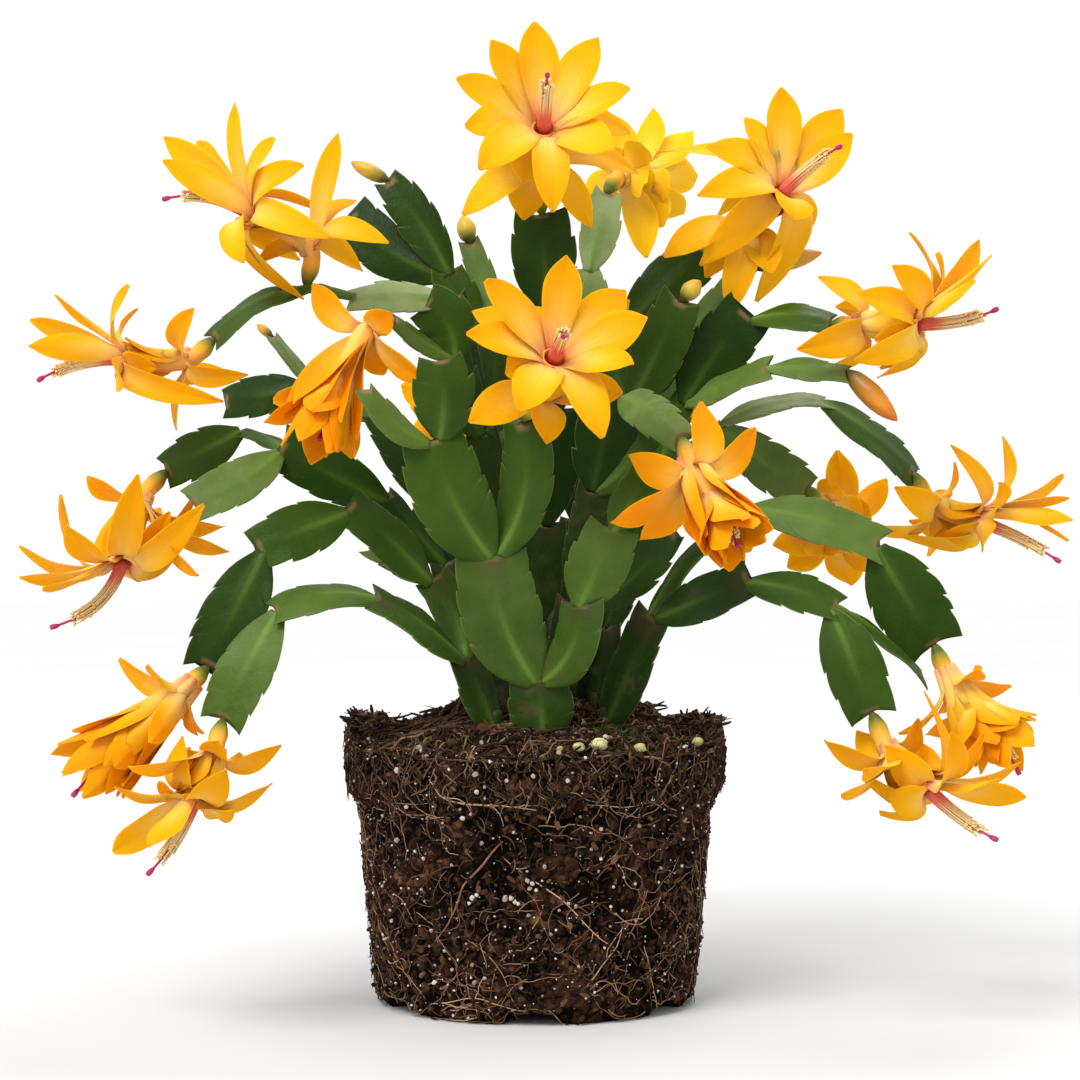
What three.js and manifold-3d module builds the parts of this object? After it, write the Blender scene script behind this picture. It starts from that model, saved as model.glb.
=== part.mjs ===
// A yellow-flowered Christmas cactus (Schlumbergera) that stands on its own root ball.
// Millimetres, +Z up. The origin is the centre of the root ball's underside, and the
// plant's fullest side looks towards -Y.
//
// Places on the plant are given as [x, z, depth]: x and z as the point lines up in the
// plane y = 0 for an eye 0.9 m in front of the plant, and its depth y behind that plane.
import * as THREE from "three";
import { mergeVertices } from "three/addons/utils/BufferGeometryUtils.js";
import Module from "manifold-3d";

const wasm = await Module();
wasm.setup();

const EYE = new THREE.Vector3(1.6, -900, 147);
const GAP = 0.3; // clearance between pieces that touch
const SLANT_GAP = 0.6; // the same where a bloom or bud meets its segment at an angle

// Root ball, moulded by a 12 cm pot.
const BALL = {
  sides: 27,
  foot: 30, // radius of the flat underside's inner ring
  base: 50.2, // radius just above the underside
  shoulder: 56, // radius under the lip
  lip: 60.5,
  top: 88, // height of the rim
  mound: 7, // rise of the soil round the stems
  moundAt: [8, 12],
  moundSpread: 28,
  drains: 9, // channels that the pot's foot left in the bottom edge
  drainDepth: 2.6,
};
const STUB = { radius: 2.4, sunk: 9, raised: 5 }; // the part of a stem at the soil

// Segments of the flat stems.
// A side branch leaves its carrier's tip off centre, by up to this part of the width.
const SEGMENT = { thick: 2.4, sunk: 1.6, shoulder: 0.16 };
// Outline of a segment: [how far along, part of the half width], with a tooth and a horn.
const TOOTHED = [[0, 0.14], [0.28, 0.84], [0.62, 1.02], [0.66, 0.86], [1.03, 0.46]];
const MIDRIB = [[0, 0.42], [0.45, 1], [0.965, 0.6]];

// Tepals: outline and midrib as above, ending in a point.
const TEPAL = { thick: 1.1, width: 10 };
const TEPAL_EDGE = [[0, 0.14], [0.45, 0.84], [0.75, 0.9], [1, 0]];
const TEPAL_RIB = [[0, 0.9], [0.55, 1], [1, 0]];

// Flower tube: [how far along, radius], from the green ovary to the throat.
const TUBE = [[0, 0], [0, 1.4], [0.18, 2.8], [0.5, 2.2], [1, 4.6], [1, 0]];
const TUBE_SIDES = 6;
// Style with its bundle of stamens, from the throat to the stigma.
const PISTIL = [[0, 0], [0, 1.5], [0.5, 1.4], [0.75, 0.6], [0.96, 1], [1, 0]];
const BUD = [[0, 0], [0.03, 0.45], [0.3, 0.85], [0.75, 0.9], [1, 0]];

// Stems: where each stands in the soil, then its segments as
// [name, grows from, x, z, depth of the tip, width, roll in degrees, bend, sideways shift].
const STEMS = {
  front: { soil: [3, -34], segments: [
    ["a1", "soil", 1, 103, -36, 21, 0, 0, 0],
    ["a2", "a1", -14, 143, -42, 26, 5, 0.03, -3.5],
    ["a3", "a1", 15, 127, -42, 17, -30, 0.03, 4.5],
    ["a4", "a2", -33, 180, -50, 25, 10, 0.04, -3],
    ["a5", "a2", -4, 185, -46, 18, -20, -0.05, 4],
    ["a6", "a4", -30, 205, -58, 20, 0, 0.04, 1],
    ["a7", "a4", -54, 195, -58, 12, 45, 0, -3],
    ["a8", "a3", 25, 151, -48, 20, 5, 0.05, 0],
    ["a9", "a3", 44, 150, -28, 16, 25, 0.05, 2],
    ["a10", "a8", 37, 170, -50, 13, 10, 0, 0],
  ] },
  left_low: { soil: [-12, -22], segments: [
    ["b1", "soil", -23, 110, -26, 14, 35, 0, 0],
    ["b2", "b1", -52, 129, -38, 18, 62, 0.06, -1],
    ["b3", "b2", -84, 124, -47, 18, 60, 0.12, 0],
    ["b4", "b3", -100, 89, -54, 19, 25, 0.05, 0],
    ["b5", "b1", -33, 135, -18, 14, 15, 0, 2],
    ["b6", "b5", -60, 158, -26, 16, 30, 0.05, 0],
    ["b7", "b6", -89, 144, -36, 18, 10, 0.08, 0],
    ["b8", "b7", -105, 106, -42, 20, 5, 0.06, 0],
    ["b9", "b5", -53, 144, -6, 10, 40, 0, 0],
  ] },
  left_mid: { soil: [-10, -6], segments: [
    ["c1", "soil", -20, 115, -6, 13, 30, 0, 0],
    ["c2", "c1", -29, 140, -2, 14, 35, 0, 0],
    ["c3", "c2", -48, 161, -2, 11, 30, 0, 0],
    ["c4", "c3", -82, 177, -8, 18, -10, 0.05, 0],
    ["c5", "c4", -110, 158, -22, 16, 25, 0.06, -2],
    ["c6", "c4", -94, 182, 10, 9, 60, 0, 2],
    ["c7", "c6", -118, 169, 8, 16, 12, 0.06, 0],
  ] },
  left_inner: { soil: [-7, 8], segments: [
    ["d1", "soil", -14, 115, 8, 13, 40, 0, 0],
    ["d2", "d1", -23, 137, 10, 13, 40, 0, 0],
    ["d3", "d2", -33, 158, 13, 15, 30, 0, 0],
    ["d4", "d3", -50, 187, 20, 17, 35, 0.04, 0],
    ["d5", "d4", -73, 196, 30, 15, 40, 0.05, 0],
    ["d6", "d5", -99, 191, 40, 15, 15, 0.08, 0],
    ["d7", "d5", -84, 212, 36, 8, 55, 0, 0],
  ] },
  upper_left: { soil: [-14, 16], segments: [
    ["e1", "soil", -10, 121, 16, 12, 30, 0, 0],
    ["e2", "e1", -12, 153, 18, 16, 20, 0, 0],
    ["e3", "e2", -17, 182, 14, 16, 20, 0, 0],
    ["e4", "e3", -26, 207, 2, 16, 20, 0, -2],
    ["e5", "e4", -35, 223, -4, 20, 0, 0.03, 3],
    ["e6", "e4", -45, 217, -12, 9, 50, 0, -1],
    ["e7", "e3", -12, 209, 26, 17, 10, 0, 2],
    ["e8", "e7", -28, 233, 30, 17, 15, 0, -2],
    ["e9", "e8", -47, 262, 34, 15, 10, 0.04, 1],
    ["e10", "e8", -59, 251, 46, 19, 0, 0.05, -3],
    ["e11", "e7", -21, 242, 42, 11, 20, 0, 2],
    ["e12", "e3", -26, 225, 2, 12, 40, 0, 0],
    ["e13", "e12", -59, 224, -2, 16, 50, 0.06, 0],
    ["e14", "e13", -73, 228, -2, 7, 60, 0.03, 0],
    ["e15", "e14", -103, 211, -10, 14, 62, 0.12, 0],
  ] },
  top: { soil: [0, 18], segments: [
    ["f1", "soil", 0, 121, 25, 12, 20, 0, 0],
    ["f2", "f1", 3, 153, 24, 17, 10, 0, 0],
    ["f3", "f2", 7, 189, 18, 20, 0, 0, 0],
    ["f4", "f3", 4, 222, 8, 20, 0, 0, 0],
    ["f5", "f4", 2, 252, 2, 22, 0, 0.03, 0],
  ] },
  top_back: { soil: [8, 29], segments: [
    ["g1", "soil", 10, 121, 35, 13, -20, 0, 0],
    ["g2", "g1", 14, 153, 43, 16, -10, 0, 0],
    ["g3", "g2", 18, 184, 50, 18, 0, 0, 0],
    ["g4", "g3", 21, 213, 58, 17, 0, 0, 0],
    ["g5", "g4", 16, 234, 64, 14, 10, 0, 0],
    ["g6", "g5", 23, 258, 72, 15, 15, 0.04, 0],
  ] },
  top_right: { soil: [13, 17], segments: [
    ["h1", "soil", 18, 121, 16, 13, -20, 0, 0],
    ["h2", "h1", 23, 150, 16, 15, -20, 0, 0],
    ["h3", "h2", 30, 192, 14, 18, -10, 0, 0],
    ["h4", "h3", 27, 217, 30, 16, 0, 0, -2],
    ["h5", "h4", 55, 240, 40, 19, -10, 0.04, 0],
    ["h6", "h3", 47, 224, -8, 19, -20, 0.03, 1],
    ["h7", "h3", 45, 209, 22, 11, -35, 0, 3],
    ["h8", "h7", 69, 235, 26, 14, -50, 0, 0],
  ] },
  right: { soil: [20, 2], segments: [
    ["i1", "soil", 23, 120, 2, 13, -30, 0, 0],
    ["i2", "i1", 30, 141, 4, 15, -30, 0, 0],
    ["i3", "i2", 41, 172, 8, 15, -35, 0, 0],
    ["i4", "i3", 48, 192, 4, 13, -35, 0, -1],
    ["i5", "i4", 68, 220, -4, 21, 0, 0.03, -1],
    ["i6", "i5", 95, 216, -10, 15, -55, 0.1, 0],
    ["i7", "i4", 75, 202, -16, 14, -58, 0.05, 1],
    ["i8", "i7", 100, 200, -20, 11, -50, 0.05, 0],
    ["i9", "i3", 60, 184, 14, 9, -60, 0, 1],
    ["i10", "i9", 93, 191, 24, 12, -60, 0.1, 0],
    ["i11", "i10", 121, 168, 30, 18, -55, 0.06, 0],
    ["i12", "i9", 87, 163, 28, 17, -5, 0.06, 1],
  ] },
  right_low: { soil: [22, -18], segments: [
    ["k1", "soil", 38, 124, -28, 15, -25, 0, 0],
    ["k2", "k1", 69, 135, -40, 15, -20, 0.05, 1],
    ["k3", "k2", 97, 125, -48, 16, -40, 0.08, 0],
    ["k4", "k3", 108, 91, -54, 19, -5, 0.05, 0],
    ["k5", "k3", 124, 103, -38, 14, -78, 0.06, 1],
    ["k6", "k1", 55, 147, -18, 13, -65, 0.03, -1],
    ["k7", "k6", 68, 158, -24, 12, -60, 0, 0],
    ["k8", "k7", 111, 145, -32, 17, -35, 0.1, 0],
    ["k9", "k8", 128, 113, -28, 24, 0, 0.05, 0],
  ] },
  centre_right: { soil: [7, 5], segments: [
    ["m1", "soil", 12, 128, 0, 13, -20, 0, 0],
    ["m2", "m1", 19, 164, -8, 13, -10, 0, 0],
    ["m3", "m2", 27, 194, -18, 21, 0, 0, -1],
    ["m4", "m3", 47, 179, -54, 14, -15, 0.1, 0],
    ["m5", "m2", 38, 184, -16, 13, -20, 0, 2],
  ] },
  back_left: { soil: [-5, 38], segments: [
    ["n1", "soil", -6, 115, 48, 13, 20, 0, 0],
    ["n2", "n1", -11, 147, 58, 18, 30, 0, 0],
    ["n3", "n2", -16, 178, 70, 20, 20, 0.04, 0],
    ["n4", "n3", -22, 206, 88, 21, 10, 0.05, 0],
    ["n5", "n4", -22, 212, 118, 20, 10, 0.08, 0],
    ["n8", "n5", -18, 196, 146, 20, 10, 0.08, 0],
    ["n6", "n3", -5, 192, 100, 20, -30, 0.05, 0],
    ["n7", "n6", -2, 176, 128, 21, -20, 0.08, 0],
  ] },
  back_right: { soil: [16, 38], segments: [
    ["o1", "soil", 21, 115, 48, 13, -20, 0, 0],
    ["o2", "o1", 27, 146, 60, 18, -20, 0, 0],
    ["o3", "o2", 35, 178, 72, 20, -20, 0.04, 0],
    ["o4", "o3", 42, 208, 88, 21, 0, 0.05, 0],
    ["o5", "o4", 42, 219, 116, 20, 0, 0.08, 0],
    ["o8", "o5", 36, 207, 146, 20, 0, 0.08, 0],
    ["o6", "o3", 24, 185, 104, 20, 30, 0.05, 0],
    ["o7", "o6", 21, 166, 132, 21, 20, 0.08, 0],
  ] },
  back_low: { soil: [5, 48], segments: [
    ["p1", "soil", 0, 112, 60, 14, 10, 0, 0],
    ["p2", "p1", 2, 131, 84, 18, 10, 0.04, 0],
    ["p3", "p2", -3, 145, 108, 20, 20, 0.05, 0],
    ["p4", "p3", -6, 137, 138, 21, 10, 0.08, 0],
    ["p5", "p4", -5, 112, 156, 20, 0, 0.08, 0],
    ["p6", "p2", 18, 139, 108, 20, -20, 0.05, 0],
    ["p7", "p6", 21, 118, 132, 21, -10, 0.08, 0],
  ] },
};

// Blooms: the segment each grows from, its waist, its throat, the end of its style, and the
// tips of its tepals in three whorls.
const BLOOMS = {
  top_centre: { on: "f5", neck: [2, 265, -12], mouth: [3, 281, -30], pistil: [4, 296, -54],
    inner: [
      [0, 313, -30], [-14, 307, -34], [20, 308, -34], [-25, 295, -42],
      [30, 292, -42], [25, 272, -46], [-18, 266, -46], [6, 252, -42]],
    mid: [[-23, 280, -22], [31, 278, -14]],
    outer: [[-23, 251, -16], [-4, 249, -4], [18, 247, -12], [34, 265, 6]] },
  top_back: { on: "g6", foot: [23, 258.6, 72.4],
    neck: [27, 263, 82], mouth: [34, 262, 98], pistil: [43, 266, 124],
    inner: [[38, 285, 108], [50, 277, 112], [51, 263, 120], [47, 252, 114], [21, 284, 100]],
    mid: [[41, 247, 92]],
    outer: [[36, 237, 84], [20, 272, 78], [34, 275, 68]] },
  top_right: { on: "h8", foot: [69, 235.3, 25.6],
    neck: [67, 245, 18], mouth: [81, 260, 6], pistil: [98, 273, -12],
    inner: [
      [79, 292, 8], [67, 282, 0], [98, 285, 16], [101, 277, 4],
      [55, 273, -6], [52, 257, -12], [83, 250, -14]],
    mid: [[39, 271, 22]],
    outer: [[41, 238, 4], [62, 219, 6], [54, 231, 16], [76, 233, 2]] },
  right_upper: { on: "i6", neck: [103, 216, -12], mouth: [126, 216, -20], pistil: [148, 221, -34],
    inner: [[143, 243, -18], [147, 237, -30], [129, 239, -2], [141, 230, -40], [115, 235, -38]],
    mid: [[121, 246, 4], [103, 226, -34], [102, 204, -38], [110, 198, -16]],
    outer: [[91, 232, -16], [84, 208, -30], [91, 199, -6], [97, 222, 12]] },
  right_mid: { on: "i11", neck: [127, 159, 28], mouth: [145, 152, 24], pistil: [168, 140, 14],
    inner: [[170, 167, 34], [171, 160, 20], [172, 153, 10], [170, 146, 18], [149, 165, 2]],
    mid: [[134, 178, 14], [151, 180, 44], [144, 145, 0]],
    outer: [[106, 150, 18], [115, 164, 6], [127, 141, 42]] },
  right_back: { on: "i12", neck: [92, 158, 38], mouth: [97, 151, 54], pistil: [101, 145, 82],
    inner: [[97, 176, 52], [113, 166, 58], [101, 133, 64], [110, 141, 72], [81, 138, 62]],
    mid: [[76, 145, 50]],
    outer: [[76, 166, 42], [82, 153, 32], [105, 155, 34]] },
  right_hanging: { on: "k9", neck: [133, 102, -31], mouth: [142, 92, -36], pistil: [155, 72, -44],
    inner: [[156, 73, -38], [159, 83, -24], [149, 76, -50], [153, 78, -22], [147, 83, -46]],
    mid: [[137, 82, -52], [125, 84, -28]],
    outer: [[153, 99, -22], [142, 106, -22], [117, 84, -38]] },
  right_low: { on: "k4", neck: [113, 80, -58], mouth: [128, 65, -64], pistil: [148, 51, -74],
    inner: [[157, 64, -66], [156, 75, -56], [149, 70, -84], [134, 85, -88]],
    mid: [[125, 99, -56], [144, 85, -62]],
    outer: [[92, 82, -64], [98, 65, -78], [103, 86, -44], [105, 73, -88]] },
  centre: { on: "a5", foot: [-4, 186, -47],
    neck: [2, 194, -62], mouth: [7, 207, -78], pistil: [9, 212, -104],
    inner: [
      [10, 238, -82], [-16, 230, -86], [36, 218, -88], [-22, 213, -92],
      [31, 204, -94], [-5, 189, -100], [22, 180, -96]],
    mid: [[30, 224, -72], [-20, 221, -74]],
    outer: [[-21, 185, -80], [28, 194, -74], [4, 178, -76]] },
  centre_right: { on: "m4", neck: [51, 169, -68], mouth: [58, 158, -80], pistil: [65, 145, -96],
    inner: [[62, 140, -96], [73, 146, -88], [69, 143, -78], [54, 145, -98], [66, 153, -108]],
    mid: [[51, 147, -76]],
    outer: [[54, 192, -66], [71, 183, -60], [30, 174, -66], [25, 152, -88], [34, 146, -66]] },
  centre_left: { on: "e6", foot: [-45.8, 216.8, -13.6],
    neck: [-54, 214, -27], mouth: [-62, 197, -40], pistil: [-69, 179, -52],
    inner: [
      [-72, 172, -50], [-59, 173, -40], [-86, 184, -50],
      [-84, 191, -34], [-81, 177, -60], [-65, 175, -62]],
    mid: [],
    outer: [[-71, 229, -24], [-46, 220, -36], [-36, 198, -50]] },
  top_left: { on: "e14", foot: [-73, 228.7, -2.8],
    neck: [-72, 240, -6], mouth: [-94, 253, -16], pistil: [-119, 256, -30],
    inner: [
      [-119, 276, -10], [-119, 268, -28], [-97, 287, -20], [-108, 275, 6],
      [-84, 276, -32], [-74, 267, -40], [-94, 236, -42]],
    mid: [[-66, 244, -40]],
    outer: [[-63, 277, -6], [-57, 257, 8], [-47, 243, -26], [-55, 233, -10]] },
  left_upper: { on: "e15", neck: [-111, 205, -14], mouth: [-135, 205, -20], pistil: [-159, 198, -32],
    inner: [[-162, 217, -12], [-154, 225, -26], [-162, 209, -36], [-131, 229, -38]],
    mid: [[-127, 221, 2], [-100, 191, -38], [-133, 196, -44]],
    outer: [[-110, 221, -34], [-92, 199, -24], [-100, 201, 6], [-115, 182, -12]] },
  left_mid: { on: "c7", foot: [-118.5, 168.6, 7.6],
    neck: [-126, 160, 0], mouth: [-133, 137, -12], pistil: [-155, 119, -26],
    inner: [[-166, 144, -8], [-165, 134, -24], [-157, 130, -36], [-150, 151, -42], [-153, 161, 8]],
    mid: [[-127, 168, -36], [-106, 158, -30]],
    outer: [[-99, 151, 4], [-98, 143, -16], [-109, 135, -30], [-120, 157, 24]] },
  left_low_outer: { on: "b8", neck: [-112, 99, -46], mouth: [-124, 89, -50], pistil: [-148, 65, -60],
    inner: [[-155, 78, -48], [-151, 71, -62], [-146, 67, -52], [-135, 74, -70], [-133, 77, -34]],
    mid: [],
    outer: [[-133, 109, -36], [-124, 107, -60], [-106, 85, -36], [-123, 82, -72]] },
  left_low: { on: "b4", neck: [-103, 79, -60], mouth: [-110, 61, -66], pistil: [-124, 40, -78],
    inner: [[-135, 47, -62], [-123, 48, -86], [-97, 59, -74]],
    mid: [[-135, 67, -66], [-84, 69, -60], [-99, 73, -92]],
    outer: [[-130, 74, -84], [-81, 81, -62], [-94, 78, -44]] },
};
// Blooms on the far side, with their tepals set out evenly: the direction each opens in.
const STARS = {
  back_left: { on: "n8", towards: [-0.35, 0.75, -0.2], turn: 0.2 },
  back_right: { on: "o8", towards: [0.35, 0.8, -0.35], turn: 0.5 },
  back_low: { on: "p5", towards: [-0.1, 0.7, -0.7], turn: 0.9 },
};
const STAR = { waist: 12, throat: 13, style: 24, reach: 20 };

// Buds: the segment each grows from, its tip, its radius, and how far to the side it sits.
const BUDS = {
  top_left: { on: "e9", tip: [-59, 268, 36], radius: 2.6, side: 0 },
  top: { on: "e11", tip: [-23, 251, 44], radius: 3.2, side: 0 },
  top_inner: { on: "h6", tip: [53, 230, -10], radius: 3, side: 0 },
  top_right: { on: "h8", tip: [92, 239, 24], radius: 3.2, side: 0.26 },
  right: { on: "i8", tip: [116, 185, -27], radius: 3.2, side: -0.12 },
  left: { on: "d7", tip: [-89, 216, 38], radius: 1.6, side: 0 },
};

// Roots that show on the side of the ball: [angle round from the front, height] along each.
const ROOTS = [
  [[-12, 57], [-20, 48], [-28, 38]],
  [[-10, 53], [5, 40], [19, 29], [38, 17]],
  [[-76, 44], [-66, 28], [-46, 8]],
  [[62, 50], [88, 26]],
  [[112, 50], [140, 22]],
  [[-104, 50], [-150, 18]],
];
const ROOT_RADIUS = 1.3;

// ---- placing ----

// The point that lines up with (x, z) in the plane y = 0, at its depth.
function at([x, z, depth]) {
  const away = (depth - EYE.y) / -EYE.y;
  return new THREE.Vector3(EYE.x + (x - EYE.x) * away, depth, EYE.z + (z - EYE.z) * away);
}

function soilHeight(x, y) {
  const [mx, my] = BALL.moundAt;
  const off = ((x - mx) ** 2 + (y - my) ** 2) / BALL.moundSpread ** 2;
  return BALL.top + BALL.mound * Math.exp(-off);
}

// Tangent, width and normal of a strip along a curve whose width lies along `across`.
function frameOn(curve, s, across) {
  const tangent = curve.getTangent(THREE.MathUtils.clamp(s, 0.001, 0.999));
  const normal = new THREE.Vector3().crossVectors(across, tangent).normalize();
  const width = new THREE.Vector3().crossVectors(tangent, normal);
  return { point: curve.getPoint(s), width, normal };
}

function perpendicular(vector, direction) {
  const part = vector.clone().addScaledVector(direction, -vector.dot(direction));
  return part.normalize();
}

// ---- solids ----

function solid(geometry) {
  geometry.deleteAttribute("normal");
  geometry.deleteAttribute("uv");
  const merged = mergeVertices(geometry, 1e-4);
  const index = merged.index.array;
  const corners = [];
  for (let i = 0; i < index.length; i += 3) {
    const [a, b, c] = index.slice(i, i + 3);
    if (a !== b && b !== c && c !== a) corners.push(a, b, c);
  }
  const mesh = new wasm.Mesh({
    numProp: 3,
    vertProperties: new Float32Array(merged.attributes.position.array),
    triVerts: new Uint32Array(corners),
  });
  return new wasm.Manifold(mesh);
}

function fuse(solids) {
  return solids.reduce((whole, piece) => whole.add(piece));
}

function toMesh(name, manifold, material) {
  const { vertProperties, triVerts } = manifold.getMesh();
  const geometry = new THREE.BufferGeometry();
  geometry.setAttribute("position", new THREE.BufferAttribute(vertProperties, 3));
  geometry.setIndex(new THREE.BufferAttribute(triVerts, 1));
  geometry.computeVertexNormals();
  const mesh = new THREE.Mesh(geometry, material);
  mesh.name = name;
  return mesh;
}

// A thin blade along a curve, with sharp edges and a raised midrib on both faces.
function blade(curve, across, half, thick, edge, rib) {
  const position = [];
  const index = [];
  const put = (s, sideways, out) => {
    const { point, width, normal } = frameOn(curve, s, across);
    point.addScaledVector(width, sideways).addScaledVector(normal, out);
    position.push(point.x, point.y, point.z);
    return { s, id: position.length / 3 - 1 };
  };
  const left = edge.map(([s, part]) => put(s, -half * part, 0));
  const right = edge.map(([s, part]) => put(s, half * part, 0));
  const front = rib.map(([s, part]) => put(s, 0, (thick / 2) * part));
  const back = rib.map(([s, part]) => put(s, 0, (-thick / 2) * part));
  const face = (a, b, c, turned) => index.push(...(turned ? [a.id, c.id, b.id] : [a.id, b.id, c.id]));
  const strip = (inner, outer, turned) => {
    let i = 0;
    let j = 0;
    while (i < inner.length - 1 || j < outer.length - 1) {
      const nextInner = inner[i + 1]?.s ?? Infinity;
      const nextOuter = outer[j + 1]?.s ?? Infinity;
      if (nextOuter <= nextInner) {
        face(inner[i], outer[j], outer[j + 1], turned);
        j += 1;
      } else {
        face(inner[i], outer[j], inner[i + 1], turned);
        i += 1;
      }
    }
  };
  strip(front, right, false);
  strip(front, left, true);
  strip(back, right, true);
  strip(back, left, false);
  for (const side of [right, left]) {
    face(front[0], back[0], side[0], side === left);
    face(front.at(-1), back.at(-1), side.at(-1), side === right);
  }
  const geometry = new THREE.BufferGeometry();
  geometry.setAttribute("position", new THREE.Float32BufferAttribute(position, 3));
  geometry.setIndex(index);
  return solid(geometry);
}

// A round body along a curve: profile of [how far along, radius].
function spindle(curve, across, profile, radius, sides) {
  const points = profile.map(([s, part]) => new THREE.Vector2(part * radius, s));
  const geometry = new THREE.LatheGeometry(points, sides);
  const vertices = geometry.attributes.position;
  for (let i = 0; i < vertices.count; i += 1) {
    const { point, width, normal } = frameOn(curve, vertices.getY(i), across);
    point.addScaledVector(width, vertices.getX(i)).addScaledVector(normal, vertices.getZ(i));
    vertices.setXYZ(i, point.x, point.y, point.z);
  }
  return solid(geometry);
}

// ---- leafy stems ----

// One flat segment. Its face looks at the eye, turned by `roll` degrees round its length.
function segment(start, tip, width, roll, bend, shift) {
  const length = start.distanceTo(tip);
  const along = tip.clone().sub(start).normalize();
  const middle = start.clone().lerp(tip, 0.5);
  const facing = perpendicular(EYE.clone().sub(middle), along);
  facing.applyAxisAngle(along, THREE.MathUtils.degToRad(roll));
  const across = new THREE.Vector3().crossVectors(along, facing);
  const upper = 2 * facing.z - facing.y >= 0 ? 1 : -1;
  const control = middle.clone();
  control.addScaledVector(facing, 2 * bend * length * upper).addScaledVector(across, 2 * shift);
  const curve = new THREE.QuadraticBezierCurve3(start, control, tip);
  const body = blade(curve, across, width / 2, SEGMENT.thick, TOOTHED, MIDRIB);
  return { tip, along, across, width, body };
}

// The stub that a stem stands on, in a hole of the soil.
function stub([x, y], spare) {
  const height = STUB.sunk + STUB.raised;
  const geometry = new THREE.CylinderGeometry(STUB.radius + spare, STUB.radius + spare, height + spare, 5);
  geometry.rotateX(Math.PI / 2);
  geometry.translate(x, y, soilHeight(x, y) - STUB.sunk + (height - spare) / 2);
  return solid(geometry);
}

function stem({ soil: [x, y], segments }) {
  const up = new THREE.Vector3(0, 0, 1);
  const ground = new THREE.Vector3(x, y, soilHeight(x, y) + STUB.raised - 2);
  const places = { soil: { tip: ground, along: up, across: up, width: 0 } };
  const solids = [stub([x, y], 0)];
  for (const [name, parent, sx, sz, depth, width, roll, bend, shift] of segments) {
    const tip = at([sx, sz, depth]);
    const from = places[parent];
    const lean = tip.clone().sub(from.tip).normalize().dot(from.across);
    const start = from.tip.clone().addScaledVector(from.along, -SEGMENT.sunk);
    start.addScaledVector(from.across, lean * SEGMENT.shoulder * from.width);
    places[name] = segment(start, tip, width, roll, bend, shift);
    solids.push(places[name].body);
  }
  return { places, body: fuse(solids) };
}

// ---- blooms ----

// A tepal that leaves its ring along the flower's axis and curls out to its tip.
function tepal(centre, axis, ring, tip, width) {
  const out = perpendicular(tip.clone().sub(centre), axis);
  const root = centre.clone().addScaledVector(out, ring);
  const reach = root.distanceTo(tip);
  const control = root.clone().addScaledVector(axis, 0.36 * reach).addScaledVector(out, 0.26 * reach);
  const across = new THREE.Vector3().crossVectors(axis, out).normalize();
  const curve = new THREE.QuadraticBezierCurve3(root, control, tip);
  return blade(curve, across, width / 2, TEPAL.thick, TEPAL_EDGE, TEPAL_RIB);
}

// The direction that a curve through three points doesn't leave its plane in.
function bendNormal(a, b, c) {
  const first = b.clone().sub(a).normalize();
  const normal = first.clone().cross(c.clone().sub(b).normalize());
  return normal.length() > 0.02 ? normal.normalize() : perpendicular(new THREE.Vector3(0.3, 0.2, 1), first);
}

function bloom({ foot, neck: waist, mouth: throat, inner, mid, outer }) {
  const start = waist.clone().sub(foot).setLength(SLANT_GAP).add(foot);
  const curve = new THREE.CatmullRomCurve3([start, waist, throat], false, "centripetal");
  const axis = curve.getTangent(0.999);
  const waistAxis = curve.getTangent(0.5);
  const across = bendNormal(start, waist, throat);
  const ring = (list, centre, direction, radius, width) =>
    list.map((tip) => tepal(centre, direction, radius, tip, width));
  const lip = throat.clone().addScaledVector(axis, -2);
  const petals = [
    ...ring(inner, lip, axis, 3.4, TEPAL.width),
    ...ring(mid, throat.clone().addScaledVector(axis, -6), axis, 2.4, TEPAL.width),
    ...ring(outer, waist, waistAxis, 1.5, TEPAL.width * 0.95),
  ];
  return { throat, axis, body: fuse([spindle(curve, across, TUBE, 1, TUBE_SIDES), ...petals]) };
}

function pistil({ pistil: tip }, throat, axis) {
  const root = throat.clone().addScaledVector(axis, GAP);
  const control = root.clone().addScaledVector(axis, 0.5 * root.distanceTo(tip));
  const curve = new THREE.QuadraticBezierCurve3(root, control, tip);
  return spindle(curve, bendNormal(root, control, tip), PISTIL, 1, 4);
}

// ---- root ball ----

function ballRadius(z) {
  return THREE.MathUtils.mapLinear(z, 0, 62, BALL.base + 1, BALL.shoulder);
}

function rootBall() {
  const { base, shoulder, lip, top } = BALL;
  const profile = [
    [0, 0], [BALL.foot, 0], [base - 4, 0], [ballRadius(3) - 0.6, 3], [ballRadius(22), 22],
    [ballRadius(43), 43], [shoulder, 62], [lip - 0.7, 69.5], [lip, 78], [lip - 0.8, top],
    [lip - 6, top], [34, top], [16, top], [0, top],
  ];
  const points = profile.map(([radius, z]) => new THREE.Vector2(radius, z));
  const geometry = new THREE.LatheGeometry(points, BALL.sides);
  geometry.rotateX(Math.PI / 2);
  const vertices = geometry.attributes.position;
  for (let i = 0; i < vertices.count; i += 1) {
    const x = vertices.getX(i);
    const y = vertices.getY(i);
    const z = vertices.getZ(i);
    const radius = Math.hypot(x, y);
    const turn = Math.atan2(x, -y);
    const drain = Math.cos(turn * BALL.drains) > 0.5 && z < 4 && radius > BALL.foot + 1;
    const rough = z > 4 && radius > 1 ? Math.sin(5 * turn + z / 7) + Math.sin(11 * turn - z / 5) : 0;
    const scale = (radius + 0.45 * rough - (drain ? BALL.drainDepth : 0)) / Math.max(radius, 1);
    let height = z + (drain ? BALL.drainDepth : 0);
    if (z > top - 1) height += soilHeight(x, y) - top + 0.5 * Math.sin(7 * turn + radius);
    vertices.setXYZ(i, x * scale, y * scale, height);
  }
  return solid(geometry);
}

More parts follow.
